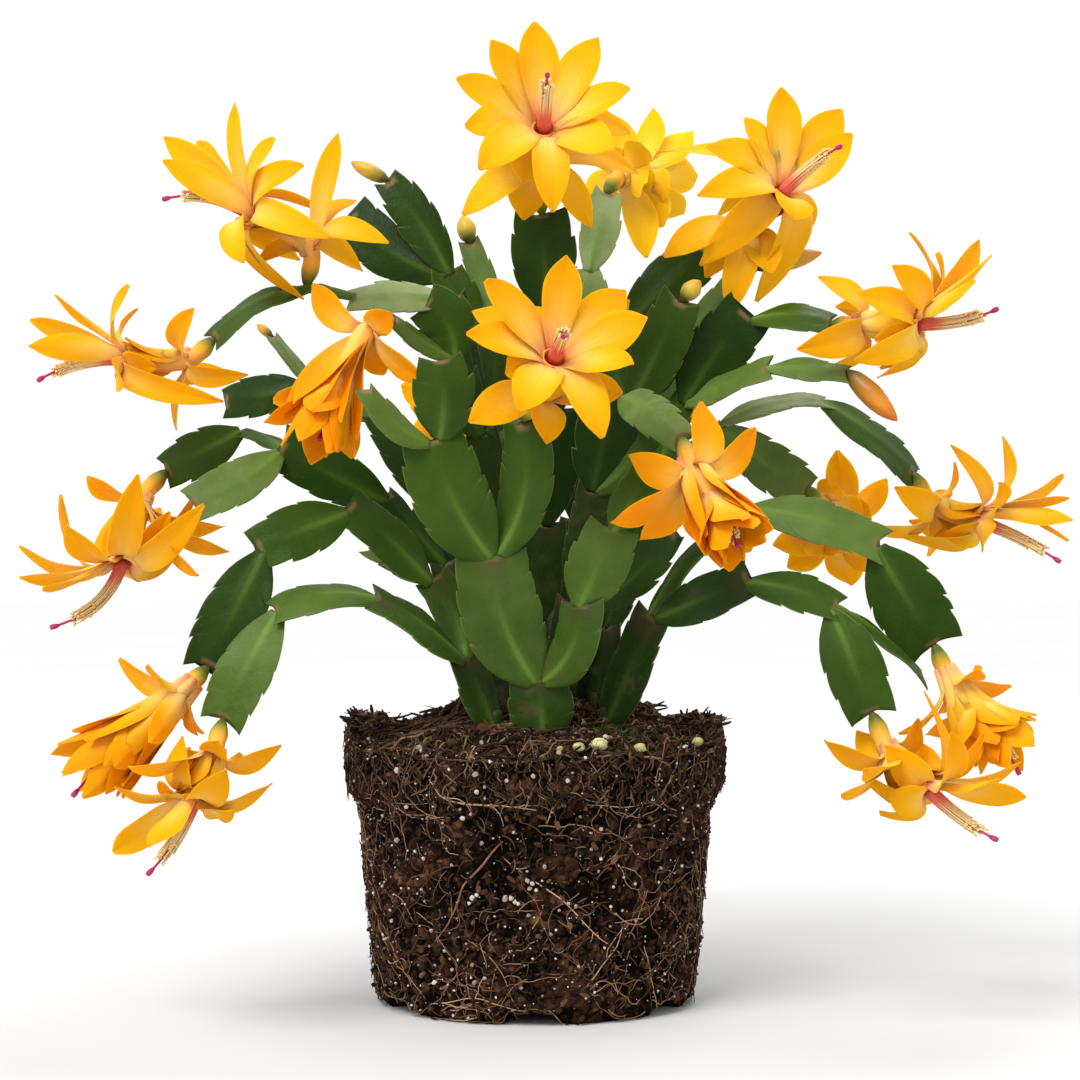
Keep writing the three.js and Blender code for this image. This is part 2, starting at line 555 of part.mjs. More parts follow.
function root(course) {
  const points = course.map(([degrees, z]) => {
    const turn = THREE.MathUtils.degToRad(degrees);
    const radius = ballRadius(z) + 0.2;
    return new THREE.Vector3(radius * Math.sin(turn), -radius * Math.cos(turn), z);
  });
  const section = new THREE.Shape();
  section.absarc(0, 0, ROOT_RADIUS, 0, 2 * Math.PI);
  const extrudePath = new THREE.CatmullRomCurve3(points);
  const steps = 2 * (points.length - 1);
  const options = { steps, extrudePath, curveSegments: 2, bevelEnabled: false };
  return solid(new THREE.ExtrudeGeometry(section, options));
}

// ---- assembly ----

function star(foot, { towards, turn }) {
  const axis = new THREE.Vector3(...towards).normalize();
  const side = perpendicular(new THREE.Vector3(0, 0, 1), axis);
  const waist = foot.clone().addScaledVector(axis, STAR.waist);
  const throat = waist.clone().addScaledVector(axis, STAR.throat);
  const whorl = (centre, count, reach, forward) =>
    Array.from({ length: count }, (unused, i) => {
      const out = side.clone().applyAxisAngle(axis, turn + (i / count) * 2 * Math.PI);
      return centre.clone().addScaledVector(out, reach).addScaledVector(axis, forward);
    });
  return {
    neck: waist,
    mouth: throat,
    pistil: throat.clone().addScaledVector(axis, STAR.style),
    inner: whorl(throat, 5, STAR.reach, 7),
    mid: [],
    outer: whorl(waist, 4, 0.85 * STAR.reach, -7),
  };
}

const looks = {
  soil: new THREE.MeshStandardMaterial({ color: "#3a2819", roughness: 0.95, metalness: 0 }),
  leaf: new THREE.MeshStandardMaterial({ color: "#4b7527", roughness: 0.5, metalness: 0 }),
  tepal: new THREE.MeshStandardMaterial({ color: "#f7b51c", roughness: 0.6, metalness: 0 }),
  style: new THREE.MeshStandardMaterial({ color: "#b03a78", roughness: 0.5, metalness: 0 }),
};

const cactus = new THREE.Group();
const places = {};
let ball = fuse([rootBall(), ...ROOTS.map(root)]);
for (const [name, plan] of Object.entries(STEMS)) {
  const grown = stem(plan);
  Object.assign(places, grown.places);
  ball = ball.subtract(stub(plan.soil, GAP));
  cactus.add(toMesh(`stem_${name}`, grown.body, looks.leaf));
}
cactus.add(toMesh("root_ball", ball, looks.soil));

const blooms = {};
for (const [name, plan] of Object.entries(BLOOMS)) {
  const whorls = { inner: plan.inner.map(at), mid: plan.mid.map(at), outer: plan.outer.map(at) };
  const foot = plan.foot ? at(plan.foot) : places[plan.on].tip;
  const line = { neck: at(plan.neck), mouth: at(plan.mouth), pistil: at(plan.pistil) };
  blooms[name] = { ...whorls, ...line, foot };
}
for (const [name, plan] of Object.entries(STARS)) {
  const foot = places[plan.on].tip;
  blooms[name] = { ...star(foot, plan), foot };
}
for (const [name, plan] of Object.entries(blooms)) {
  const { throat, axis, body } = bloom(plan);
  cactus.add(toMesh(`bloom_${name}`, body, looks.tepal));
  cactus.add(toMesh(`pistil_${name}`, pistil(plan, throat, axis), looks.style));
}

for (const [name, { on, tip, radius, side }] of Object.entries(BUDS)) {
  const { tip: carrier, across, width } = places[on];
  const foot = carrier.clone().addScaledVector(across, side * width);
  const end = at(tip);
  const direction = end.clone().sub(foot).normalize();
  const curve = new THREE.LineCurve3(foot.addScaledVector(direction, SLANT_GAP), end);
  const sideways = perpendicular(new THREE.Vector3(0.3, 1, 0.2), direction);
  cactus.add(toMesh(`bud_${name}`, spindle(curve, sideways, BUD, radius, 6), looks.tepal));
}

export default cactus;
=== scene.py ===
"""A yellow-flowered Christmas cactus on its bare root ball: the surfaces that are seen.

Tables and helpers work in millimetres, +Z up; meshes are made in metres. Places on the plant
are given as [x, z, depth]: x and z as the point lines up in the plane y = 0 for an eye 0.9 m
in front of the plant, and its depth y behind that plane.
"""
import math
import random

import bmesh
import bpy
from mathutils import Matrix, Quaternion, Vector, noise


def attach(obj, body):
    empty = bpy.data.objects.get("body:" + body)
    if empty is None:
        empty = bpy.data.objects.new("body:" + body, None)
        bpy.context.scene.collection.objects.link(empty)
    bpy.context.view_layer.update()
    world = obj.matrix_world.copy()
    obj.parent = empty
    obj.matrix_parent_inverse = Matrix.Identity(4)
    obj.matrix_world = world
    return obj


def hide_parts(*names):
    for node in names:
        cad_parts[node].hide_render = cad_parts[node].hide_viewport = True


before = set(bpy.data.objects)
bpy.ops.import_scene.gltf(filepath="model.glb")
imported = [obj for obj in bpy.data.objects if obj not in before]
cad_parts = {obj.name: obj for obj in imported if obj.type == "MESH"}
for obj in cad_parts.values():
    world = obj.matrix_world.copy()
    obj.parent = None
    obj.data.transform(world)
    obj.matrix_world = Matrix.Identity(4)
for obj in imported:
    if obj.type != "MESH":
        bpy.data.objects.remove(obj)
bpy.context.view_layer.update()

# Until it has a seed that isn't zero, noise_vector starts from the clock.
NOISE_SEED = 1
noise.seed_set(NOISE_SEED)

MM = 0.001
EYE = Vector((1.6, -900, 147))
UP = Vector((0, 0, 1))
SLANT_GAP = 0.6  # clearance of a bloom or bud from its segment

# Root ball: [height, radius] up its side.
BALL_SIDE = [(0, 49.4), (3, 50.8), (22, 52.9), (43, 54.7), (62, 56), (69.5, 59.8), (78, 60.5), (88, 59.7)]
BALL_TOP = 88
RIM_ANGLE = 1.9  # faces that meet at more than this, in radians, are shaded apart
MOUND = {"rise": 7, "at": (8, 12), "spread": 28}
DRAINS = {"count": 6, "depth": 4}
# Heaps and hollows on top: [x, y, rise, spread].
HEAPS = [
    (-25, 4, 6, 8), (31, 8, 5, 9), (-50, 8, 3, 5), (50, 14, 2, 6), (4, -40, -1, 10), (46, -16, -2.5, 9),
    (-44, -20, -3, 8)]

FOOT_SUNK = 2.6  # a bloom or bud reaches this far down into the notch of its segment
SEGMENT_SUNK = 1.6
FIRST_SUNK = 7  # the first segment of a stem stands this deep in the soil
STUB_RADII = [2.3, 2.3, 2.3, 2.3, 2.3, 2.1, 1.7]  # up the part of a stem at the soil
SHOULDER = 0.16  # a side branch leaves its carrier's tip off centre, by up to this part of the width
# Half width of a segment along its length, before its teeth are cut in.
LEAF_OUTLINE = [
    (0, 0.26), (0.04, 0.34), (0.12, 0.56), (0.22, 0.77), (0.36, 0.94), (0.5, 1), (0.66, 0.98), (0.8, 0.93),
    (0.92, 0.9), (1.03, 0.86)]
# How pale the segments are that differ from the rest, 0 to 1; on the palest this is painted sheen, glossy
# faces catching the light.
PALENESS_AND_SHEEN = {
    "g6": 1, "e13": 1, "i10": 0.9, "m4": 0.8, "c5": 0.8, "a7": 0.75, "d7": 0.85, "e11": 0.8, "g5": 0.9,
    "g4": 0.8, "k8": 0.75, "a2": 0.58, "a8": 0.6, "a3": 0.5, "a5": 0.34, "a4": 0.42, "i7": 0.75, "i8": 0.75,
    "h8": 0.75, "b9": 0.8, "e6": 0.7, "i12": 0.7, "d5": 0.7, "m5": 0.6, "b4": 0.6, "b3": 0.6, "c3": 0.1,
    "c4": 0.13, "d2": 0, "d3": 0.05, "d4": 0.1, "d6": 0.1, "e9": 0.1, "e10": 0, "f3": 0.1, "f5": 0.12,
    "g3": 0.1, "h5": 0.05, "i5": 0, "k1": 0.1, "k9": 0.16, "m3": 0.15, "b8": 0.08, "k2": 0.08, "a9": 0.1}
# The part of the plant that sees little light; its segments get painted shade.
HEART = {"at": (5, 12), "inner": 16, "outer": 50, "top": 250}

TEPAL_WIDTH = 13.2
LEAF_COLUMNS, TEPAL_COLUMNS = 14, 10  # faces across a segment and across a tepal
# Half width of a tepal along its length.
TEPAL_OUTLINE = [
    (0, 0.32), (0.15, 0.5), (0.35, 0.82), (0.56, 1), (0.74, 0.96), (0.87, 0.7), (0.95, 0.36), (1, 0.01)]

# Flower tube: [how far along, radius], from the green ovary to the open throat.
TUBE = [(0, 1.5), (0.08, 2.3), (0.18, 2.9), (0.34, 2.7), (0.5, 3), (0.75, 3.4), (1, 3.9)]
TUBE_END = 0.94  # how far along the tube its rim is
THROAT_DEPTH = 7
STYLE_RADIUS = 0.42
STIGMA_LOBES = 6
STAMEN_BUNDLE = {"count": 34, "radius": 0.26, "apart": 0.382}  # apart as part of a whole turn

# Stems: where each stands in the soil, then its segments as (name, grows from, x, z, depth of the
# tip, width, roll in degrees, bend, sideways shift).
STEMS = {
    "front": {"soil": [3, -34], "segments": [
        ("a1", "soil", 1, 103, -36, 21, 0, 0, 0),
        ("a2", "a1", -14, 143, -42, 26, 5, 0.03, -3.5),
        ("a3", "a1", 15, 127, -42, 17, -30, 0.03, 4.5),
        ("a4", "a2", -33, 180, -50, 25, 10, 0.04, -3),
        ("a5", "a2", -4, 185, -46, 18, -20, -0.05, 4),
        ("a6", "a4", -30, 205, -58, 20, 0, 0.04, 1),
        ("a7", "a4", -54, 195, -58, 12, 45, 0, -3),
        ("a8", "a3", 25, 151, -48, 20, 5, 0.05, 0),
        ("a9", "a3", 44, 150, -28, 16, 25, 0.05, 2),
        ("a10", "a8", 37, 170, -50, 13, 10, 0, 0),
    ]},
    "left_low": {"soil": [-12, -22], "segments": [
        ("b1", "soil", -23, 110, -26, 14, 35, 0, 0),
        ("b2", "b1", -52, 129, -38, 18, 62, 0.06, -1),
        ("b3", "b2", -84, 124, -47, 18, 60, 0.12, 0),
        ("b4", "b3", -100, 89, -54, 19, 25, 0.05, 0),
        ("b5", "b1", -33, 135, -18, 14, 15, 0, 2),
        ("b6", "b5", -60, 158, -26, 16, 30, 0.05, 0),
        ("b7", "b6", -89, 144, -36, 18, 10, 0.08, 0),
        ("b8", "b7", -105, 106, -42, 20, 5, 0.06, 0),
        ("b9", "b5", -53, 144, -6, 10, 40, 0, 0),
    ]},
    "left_mid": {"soil": [-10, -6], "segments": [
        ("c1", "soil", -20, 115, -6, 13, 30, 0, 0),
        ("c2", "c1", -29, 140, -2, 14, 35, 0, 0),
        ("c3", "c2", -48, 161, -2, 11, 30, 0, 0),
        ("c4", "c3", -82, 177, -8, 18, -10, 0.05, 0),
        ("c5", "c4", -110, 158, -22, 16, 25, 0.06, -2),
        ("c6", "c4", -94, 182, 10, 9, 60, 0, 2),
        ("c7", "c6", -118, 169, 8, 16, 12, 0.06, 0),
    ]},
    "left_inner": {"soil": [-7, 8], "segments": [
        ("d1", "soil", -14, 115, 8, 13, 40, 0, 0),
        ("d2", "d1", -23, 137, 10, 13, 40, 0, 0),
        ("d3", "d2", -33, 158, 13, 15, 30, 0, 0),
        ("d4", "d3", -50, 187, 20, 17, 35, 0.04, 0),
        ("d5", "d4", -73, 196, 30, 15, 40, 0.05, 0),
        ("d6", "d5", -99, 191, 40, 15, 15, 0.08, 0),
        ("d7", "d5", -84, 212, 36, 8, 55, 0, 0),
    ]},
    "upper_left": {"soil": [-14, 16], "segments": [
        ("e1", "soil", -10, 121, 16, 12, 30, 0, 0),
        ("e2", "e1", -12, 153, 18, 16, 20, 0, 0),
        ("e3", "e2", -17, 182, 14, 16, 20, 0, 0),
        ("e4", "e3", -26, 207, 2, 16, 20, 0, -2),
        ("e5", "e4", -35, 223, -4, 20, 0, 0.03, 3),
        ("e6", "e4", -45, 217, -12, 9, 50, 0, -1),
        ("e7", "e3", -12, 209, 26, 17, 10, 0, 2),
        ("e8", "e7", -28, 233, 30, 17, 15, 0, -2),
        ("e9", "e8", -47, 262, 34, 15, 10, 0.04, 1),
        ("e10", "e8", -59, 251, 46, 19, 0, 0.05, -3),
        ("e11", "e7", -21, 242, 42, 11, 20, 0, 2),
        ("e12", "e3", -26, 225, 2, 12, 40, 0, 0),
        ("e13", "e12", -59, 224, -2, 16, 50, 0.06, 0),
        ("e14", "e13", -73, 228, -2, 7, 60, 0.03, 0),
        ("e15", "e14", -103, 211, -10, 14, 62, 0.12, 0),
    ]},
    "top": {"soil": [0, 18], "segments": [
        ("f1", "soil", 0, 121, 25, 12, 20, 0, 0),
        ("f2", "f1", 3, 153, 24, 17, 10, 0, 0),
        ("f3", "f2", 7, 189, 18, 20, 0, 0, 0),
        ("f4", "f3", 4, 222, 8, 20, 0, 0, 0),
        ("f5", "f4", 2, 252, 2, 22, 0, 0.03, 0),
    ]},
    "top_back": {"soil": [8, 29], "segments": [
        ("g1", "soil", 10, 121, 35, 13, -20, 0, 0),
        ("g2", "g1", 14, 153, 43, 16, -10, 0, 0),
        ("g3", "g2", 18, 184, 50, 18, 0, 0, 0),
        ("g4", "g3", 21, 213, 58, 17, 0, 0, 0),
        ("g5", "g4", 16, 234, 64, 14, 10, 0, 0),
        ("g6", "g5", 23, 258, 72, 15, 15, 0.04, 0),
    ]},
    "top_right": {"soil": [13, 17], "segments": [
        ("h1", "soil", 18, 121, 16, 13, -20, 0, 0),
        ("h2", "h1", 23, 150, 16, 15, -20, 0, 0),
        ("h3", "h2", 30, 192, 14, 18, -10, 0, 0),
        ("h4", "h3", 27, 217, 30, 16, 0, 0, -2),
        ("h5", "h4", 55, 240, 40, 19, -10, 0.04, 0),
        ("h6", "h3", 47, 224, -8, 19, -20, 0.03, 1),
        ("h7", "h3", 45, 209, 22, 11, -35, 0, 3),
        ("h8", "h7", 69, 235, 26, 14, -50, 0, 0),
    ]},
    "right": {"soil": [20, 2], "segments": [
        ("i1", "soil", 23, 120, 2, 13, -30, 0, 0),
        ("i2", "i1", 30, 141, 4, 15, -30, 0, 0),
        ("i3", "i2", 41, 172, 8, 15, -35, 0, 0),
        ("i4", "i3", 48, 192, 4, 13, -35, 0, -1),
        ("i5", "i4", 68, 220, -4, 21, 0, 0.03, -1),
        ("i6", "i5", 95, 216, -10, 15, -55, 0.1, 0),
        ("i7", "i4", 75, 202, -16, 14, -58, 0.05, 1),
        ("i8", "i7", 100, 200, -20, 11, -50, 0.05, 0),
        ("i9", "i3", 60, 184, 14, 9, -60, 0, 1),
        ("i10", "i9", 93, 191, 24, 12, -60, 0.1, 0),
        ("i11", "i10", 121, 168, 30, 18, -55, 0.06, 0),
        ("i12", "i9", 87, 163, 28, 17, -5, 0.06, 1),
    ]},
    "right_low": {"soil": [22, -18], "segments": [
        ("k1", "soil", 38, 124, -28, 15, -25, 0, 0),
        ("k2", "k1", 69, 135, -40, 15, -20, 0.05, 1),
        ("k3", "k2", 97, 125, -48, 16, -40, 0.08, 0),
        ("k4", "k3", 108, 91, -54, 19, -5, 0.05, 0),
        ("k5", "k3", 124, 103, -38, 14, -78, 0.06, 1),
        ("k6", "k1", 55, 147, -18, 13, -65, 0.03, -1),
        ("k7", "k6", 68, 158, -24, 12, -60, 0, 0),
        ("k8", "k7", 111, 145, -32, 17, -35, 0.1, 0),
        ("k9", "k8", 128, 113, -28, 24, 0, 0.05, 0),
    ]},
    "centre_right": {"soil": [7, 5], "segments": [
        ("m1", "soil", 12, 128, 0, 13, -20, 0, 0),
        ("m2", "m1", 19, 164, -8, 13, -10, 0, 0),
        ("m3", "m2", 27, 194, -18, 21, 0, 0, -1),
        ("m4", "m3", 47, 179, -54, 14, -15, 0.1, 0),
        ("m5", "m2", 38, 184, -16, 13, -20, 0, 2),
    ]},
    "back_left": {"soil": [-5, 38], "segments": [
        ("n1", "soil", -6, 115, 48, 13, 20, 0, 0),
        ("n2", "n1", -11, 147, 58, 18, 30, 0, 0),
        ("n3", "n2", -16, 178, 70, 20, 20, 0.04, 0),
        ("n4", "n3", -22, 206, 88, 21, 10, 0.05, 0),
        ("n5", "n4", -22, 212, 118, 20, 10, 0.08, 0),
        ("n8", "n5", -18, 196, 146, 20, 10, 0.08, 0),
        ("n6", "n3", -5, 192, 100, 20, -30, 0.05, 0),
        ("n7", "n6", -2, 176, 128, 21, -20, 0.08, 0),
    ]},
    "back_right": {"soil": [16, 38], "segments": [
        ("o1", "soil", 21, 115, 48, 13, -20, 0, 0),
        ("o2", "o1", 27, 146, 60, 18, -20, 0, 0),
        ("o3", "o2", 35, 178, 72, 20, -20, 0.04, 0),
        ("o4", "o3", 42, 208, 88, 21, 0, 0.05, 0),
        ("o5", "o4", 42, 219, 116, 20, 0, 0.08, 0),
        ("o8", "o5", 36, 207, 146, 20, 0, 0.08, 0),
        ("o6", "o3", 24, 185, 104, 20, 30, 0.05, 0),
        ("o7", "o6", 21, 166, 132, 21, 20, 0.08, 0),
    ]},
    "back_low": {"soil": [5, 48], "segments": [
        ("p1", "soil", 0, 112, 60, 14, 10, 0, 0),
        ("p2", "p1", 2, 131, 84, 18, 10, 0.04, 0),
        ("p3", "p2", -3, 145, 108, 20, 20, 0.05, 0),
        ("p4", "p3", -6, 137, 138, 21, 10, 0.08, 0),
        ("p5", "p4", -5, 112, 156, 20, 0, 0.08, 0),
        ("p6", "p2", 18, 139, 108, 20, -20, 0.05, 0),
        ("p7", "p6", 21, 118, 132, 21, -10, 0.08, 0),
    ]},
}

# Blooms: the segment each grows from, its waist, its throat, the end of its style, and the tips of
# its tepals in three whorls.
BLOOMS = {
    "top_centre": {"on": "f5", "neck": [2, 265, -12], "mouth": [3, 281, -30], "pistil": [4, 296, -54],
        "inner": [
            [0, 313, -30], [-14, 307, -34], [20, 308, -34], [-25, 295, -42],
            [30, 292, -42], [25, 272, -46], [-18, 266, -46], [6, 252, -42]],
        "mid": [[-23, 280, -22], [31, 278, -14]],
        "outer": [[-23, 251, -16], [-4, 249, -4], [18, 247, -12], [34, 265, 6]]},
    "top_back": {"on": "g6", "foot": [23, 258.6, 72.4],
        "neck": [27, 263, 82], "mouth": [34, 262, 98], "pistil": [43, 266, 124],
        "inner": [[38, 285, 108], [50, 277, 112], [51, 263, 120], [47, 252, 114], [21, 284, 100]],
        "mid": [[41, 247, 92]],
        "outer": [[36, 237, 84], [20, 272, 78], [34, 275, 68]]},
    "top_right": {"on": "h8", "foot": [69, 235.3, 25.6],
        "neck": [67, 245, 18], "mouth": [81, 260, 6], "pistil": [98, 273, -12],
        "inner": [
            [79, 292, 8], [67, 282, 0], [98, 285, 16], [101, 277, 4],
            [55, 273, -6], [52, 257, -12], [83, 250, -14]],
        "mid": [[39, 271, 22]],
        "outer": [[41, 238, 4], [62, 219, 6], [54, 231, 16], [76, 233, 2]]},
    "right_upper": {"on": "i6", "neck": [103, 216, -12], "mouth": [126, 216, -20], "pistil": [148, 221, -34],
        "inner": [[143, 243, -18], [147, 237, -30], [129, 239, -2], [141, 230, -40], [115, 235, -38]],
        "mid": [[121, 246, 4], [103, 226, -34], [102, 204, -38], [110, 198, -16]],
        "outer": [[91, 232, -16], [84, 208, -30], [91, 199, -6], [97, 222, 12]]},
    "right_mid": {"on": "i11", "neck": [127, 159, 28], "mouth": [145, 152, 24], "pistil": [168, 140, 14],
        "inner": [[170, 167, 34], [171, 160, 20], [172, 153, 10], [170, 146, 18], [149, 165, 2]],
        "mid": [[134, 178, 14], [151, 180, 44], [144, 145, 0]],
        "outer": [[106, 150, 18], [115, 164, 6], [127, 141, 42]]},
    "right_back": {"on": "i12", "neck": [92, 158, 38], "mouth": [97, 151, 54], "pistil": [101, 145, 82],
        "inner": [[97, 176, 52], [113, 166, 58], [101, 133, 64], [110, 141, 72], [81, 138, 62]],
        "mid": [[76, 145, 50]],
        "outer": [[76, 166, 42], [82, 153, 32], [105, 155, 34]]},
    "right_hanging": {"on": "k9", "neck": [133, 102, -31], "mouth": [142, 92, -36], "pistil": [155, 72, -44],
        "inner": [[156, 73, -38], [159, 83, -24], [149, 76, -50], [153, 78, -22], [147, 83, -46]],
        "mid": [[137, 82, -52], [125, 84, -28]],
        "outer": [[153, 99, -22], [142, 106, -22], [117, 84, -38]]},
    "right_low": {"on": "k4", "neck": [113, 80, -58], "mouth": [128, 65, -64], "pistil": [148, 51, -74],
        "inner": [[157, 64, -66], [156, 75, -56], [149, 70, -84], [134, 85, -88]],
        "mid": [[125, 99, -56], [144, 85, -62]],
        "outer": [[92, 82, -64], [98, 65, -78], [103, 86, -44], [105, 73, -88]]},
    "centre": {"on": "a5", "foot": [-4, 186, -47],
        "neck": [2, 194, -62], "mouth": [7, 207, -78], "pistil": [9, 212, -104],
        "inner": [
            [10, 238, -82], [-16, 230, -86], [36, 218, -88], [-22, 213, -92],
            [31, 204, -94], [-5, 189, -100], [22, 180, -96]],
        "mid": [[30, 224, -72], [-20, 221, -74]],
        "outer": [[-21, 185, -80], [28, 194, -74], [4, 178, -76]]},
    "centre_right": {"on": "m4", "neck": [51, 169, -68], "mouth": [58, 158, -80], "pistil": [65, 145, -96],
        "inner": [[62, 140, -96], [73, 146, -88], [69, 143, -78], [54, 145, -98], [66, 153, -108]],
        "mid": [[51, 147, -76]],
        "outer": [[54, 192, -66], [71, 183, -60], [30, 174, -66], [25, 152, -88], [34, 146, -66]]},
    "centre_left": {"on": "e6", "foot": [-45.8, 216.8, -13.6],
        "neck": [-54, 214, -27], "mouth": [-62, 197, -40], "pistil": [-69, 179, -52],
        "inner": [
            [-72, 172, -50], [-59, 173, -40], [-86, 184, -50],
            [-84, 191, -34], [-81, 177, -60], [-65, 175, -62]],
        "mid": [],
        "outer": [[-71, 229, -24], [-46, 220, -36], [-36, 198, -50]]},
    "top_left": {"on": "e14", "foot": [-73, 228.7, -2.8],
        "neck": [-72, 240, -6], "mouth": [-94, 253, -16], "pistil": [-119, 256, -30],
        "inner": [
            [-119, 276, -10], [-119, 268, -28], [-97, 287, -20], [-108, 275, 6],
            [-84, 276, -32], [-74, 267, -40], [-94, 236, -42]],
        "mid": [[-66, 244, -40]],
        "outer": [[-63, 277, -6], [-57, 257, 8], [-47, 243, -26], [-55, 233, -10]]},
    "left_upper": {"on": "e15",
        "neck": [-111, 205, -14], "mouth": [-135, 205, -20], "pistil": [-159, 198, -32],
        "inner": [[-162, 217, -12], [-154, 225, -26], [-162, 209, -36], [-131, 229, -38]],
        "mid": [[-127, 221, 2], [-100, 191, -38], [-133, 196, -44]],
        "outer": [[-110, 221, -34], [-92, 199, -24], [-100, 201, 6], [-115, 182, -12]]},
    "left_mid": {"on": "c7", "foot": [-118.5, 168.6, 7.6],
        "neck": [-126, 160, 0], "mouth": [-133, 137, -12], "pistil": [-155, 119, -26],
        "inner": [[-166, 144, -8], [-165, 134, -24], [-157, 130, -36], [-150, 151, -42], [-153, 161, 8]],
        "mid": [[-127, 168, -36], [-106, 158, -30]],
        "outer": [[-99, 151, 4], [-98, 143, -16], [-109, 135, -30], [-120, 157, 24]]},
    "left_low_outer": {"on": "b8",
        "neck": [-112, 99, -46], "mouth": [-124, 89, -50], "pistil": [-148, 65, -60],
        "inner": [[-155, 78, -48], [-151, 71, -62], [-146, 67, -52], [-135, 74, -70], [-133, 77, -34]],
        "mid": [],
        "outer": [[-133, 109, -36], [-124, 107, -60], [-106, 85, -36], [-123, 82, -72]]},
    "left_low": {"on": "b4", "neck": [-103, 79, -60], "mouth": [-110, 61, -66], "pistil": [-124, 40, -78],
        "inner": [[-135, 47, -62], [-123, 48, -86], [-97, 59, -74]],
        "mid": [[-135, 67, -66], [-84, 69, -60], [-99, 73, -92]],
        "outer": [[-130, 74, -84], [-81, 81, -62], [-94, 78, -44]]},
}

# Blooms on the far side, with their tepals set out evenly: the direction each opens in.
STARS = {
    "back_left": {"on": "n8", "towards": [-0.35, 0.75, -0.2], "turn": 0.2},
    "back_right": {"on": "o8", "towards": [0.35, 0.8, -0.35], "turn": 0.5},
    "back_low": {"on": "p5", "towards": [-0.1, 0.7, -0.7], "turn": 0.9},
}

# Buds: the segment each grows from, its tip, its radius, how far to the side it sits, and how far its
# yellow has turned to orange, 0 to 1.
BUDS = {
    "top_left": {"on": "e9", "tip": [-59, 268, 36], "radius": 2.6, "side": 0, "ripe": 0.25},
    "top": {"on": "e11", "tip": [-23, 251, 44], "radius": 3.2, "side": 0, "ripe": 0},
    "top_inner": {"on": "h6", "tip": [53, 230, -10], "radius": 3, "side": 0, "ripe": 0},
    "top_right": {"on": "h8", "tip": [92, 239, 24], "radius": 3.2, "side": 0.26, "ripe": 0.3},
    "right": {"on": "i8", "tip": [116, 185, -27], "radius": 3.6, "side": -0.12, "ripe": 1},
    "left": {"on": "d7", "tip": [-89, 216, 38], "radius": 1.6, "side": 0, "ripe": 0.4},
}

# How deep a yellow each bloom is, 0 to 1, and the ones that hang half closed.
DEPTH_OF_COLOUR = {
    "top_back": 0.05, "top_centre": 0.3, "top_right": 0.3, "top_left": 0.35, "centre": 0.45,
    "right_upper": 0.4, "right_low": 0.45, "left_low": 0.45, "right_mid": 0.55, "left_upper": 0.6,
    "left_mid": 0.6, "right_hanging": 0.75, "left_low_outer": 0.75, "centre_right": 0.85, "centre_left": 0.95}
# How far the petals of a bloom are turned to show their faces to the front.
FACING = {
    "left_upper": 0.1, "right_mid": 0.15, "top_left": 0.8, "top_right": 0.7, "top_centre": 0.5, "centre": 0.5,
    "centre_left": 0.2, "centre_right": 0.3}
HALF_CLOSED = {"centre_left", "centre_right", "left_low_outer", "right_hanging"}
# How far the petals that fill a whorl bend back along the tube, on blooms seen from the side.
SWEPT_BACK = {
    "right_upper": 1, "right_mid": 1, "left_upper": 1, "left_mid": 0.9, "top_left": 0.9, "left_low": 0.7,
    "right_low": 0.7, "top_right": 0.9}
# Width of the petals of blooms whose petals are seen narrow.
SLENDER = {
    "left_upper": 0.68, "right_mid": 0.8, "top_left": 0.74, "left_mid": 0.8, "right_upper": 0.86,
    "left_low": 0.84, "left_low_outer": 0.78, "centre_left": 0.84, "right_hanging": 0.8, "right_low": 0.86,
    "centre_right": 0.9}

# Where the parts of a bloom on the far side lie along it, and how far its tepals reach.
STAR = {"waist": 12, "throat": 13, "style": 24, "reach": 20}
# Radius of a bud along its length, as part of the widest.
BUD_PROFILE = [
    (0, 0.24), (0.03, 0.56), (0.16, 0.84), (0.36, 1), (0.55, 0.98), (0.78, 0.72), (0.93, 0.34), (1, 0.05)]

# The roots that show most: [radius, tone, [x, z] as seen from the eye, down each].
MAIN_ROOTS = [
    (0.49, 0.45, [(-9, 52), (-15, 45), (-21, 38), (-25, 35), (-24, 31), (-27, 26), (-33, 17)]),
    (0.29, 0.9, [(-11, 46), (-4, 41), (2, 36), (9, 32), (14, 26), (20, 20), (27, 15), (30, 12)]),
    (0.21, 0.8, [(4, 33), (1, 27), (0, 22), (-4, 18)]),
    (0.31, 0.5, [(37, 38), (35, 31), (33, 24), (29, 18)]),
    (0.31, 0.85, [(29, 25), (25, 18), (23, 12), (19, 7), (14, 2)]),
    (0.26, 0.7, [(24, 15), (24, 8), (27, 3), (25, -1)]),
    (0.31, 0.55, [(-50, 27), (-47, 20), (-43, 12), (-40, 5), (-34, -1)]),
    (0.29, 0.4, [(-54, 53), (-52, 41), (-49, 29), (-46, 18)]),
    (0.26, 0.8, [(-35, -1), (-24, 0), (-16, 0), (-8, -3), (0, -4)]),
    (0.26, 0.6, [(-24, 21), (-17, 16), (-12, 12), (-9, 4), (-8, -2)]),
    (0.18, 0.9, [(-13, 12), (-6, 9), (-2, 12)]),
    (0.26, 0.6, [(46, 38), (51, 33), (48, 21), (49, 13)]),
    (0.26, 0.5, [(40, 32), (45, 25), (49, 19), (47, 10)]),
    (0.44, 0.8, [(-35, 73), (-32, 67), (-28, 63), (-20, 62), (-12, 62), (-4, 61), (3, 60)]),
    (0.21, 0.8, [(15, 62), (26, 61), (36, 62), (46, 65)]),
    (0.21, 0.6, [(-56, 65), (-44, 63), (-30, 62)]),
    (0.29, 0.8, [(34, 18), (37, 8), (39, -4)]),
    (0.21, 0.6, [(30, 13), (28, 5), (26, 1)]),
]
ROOT_STEP = 1.6  # a fine root is drawn in straight pieces of this length
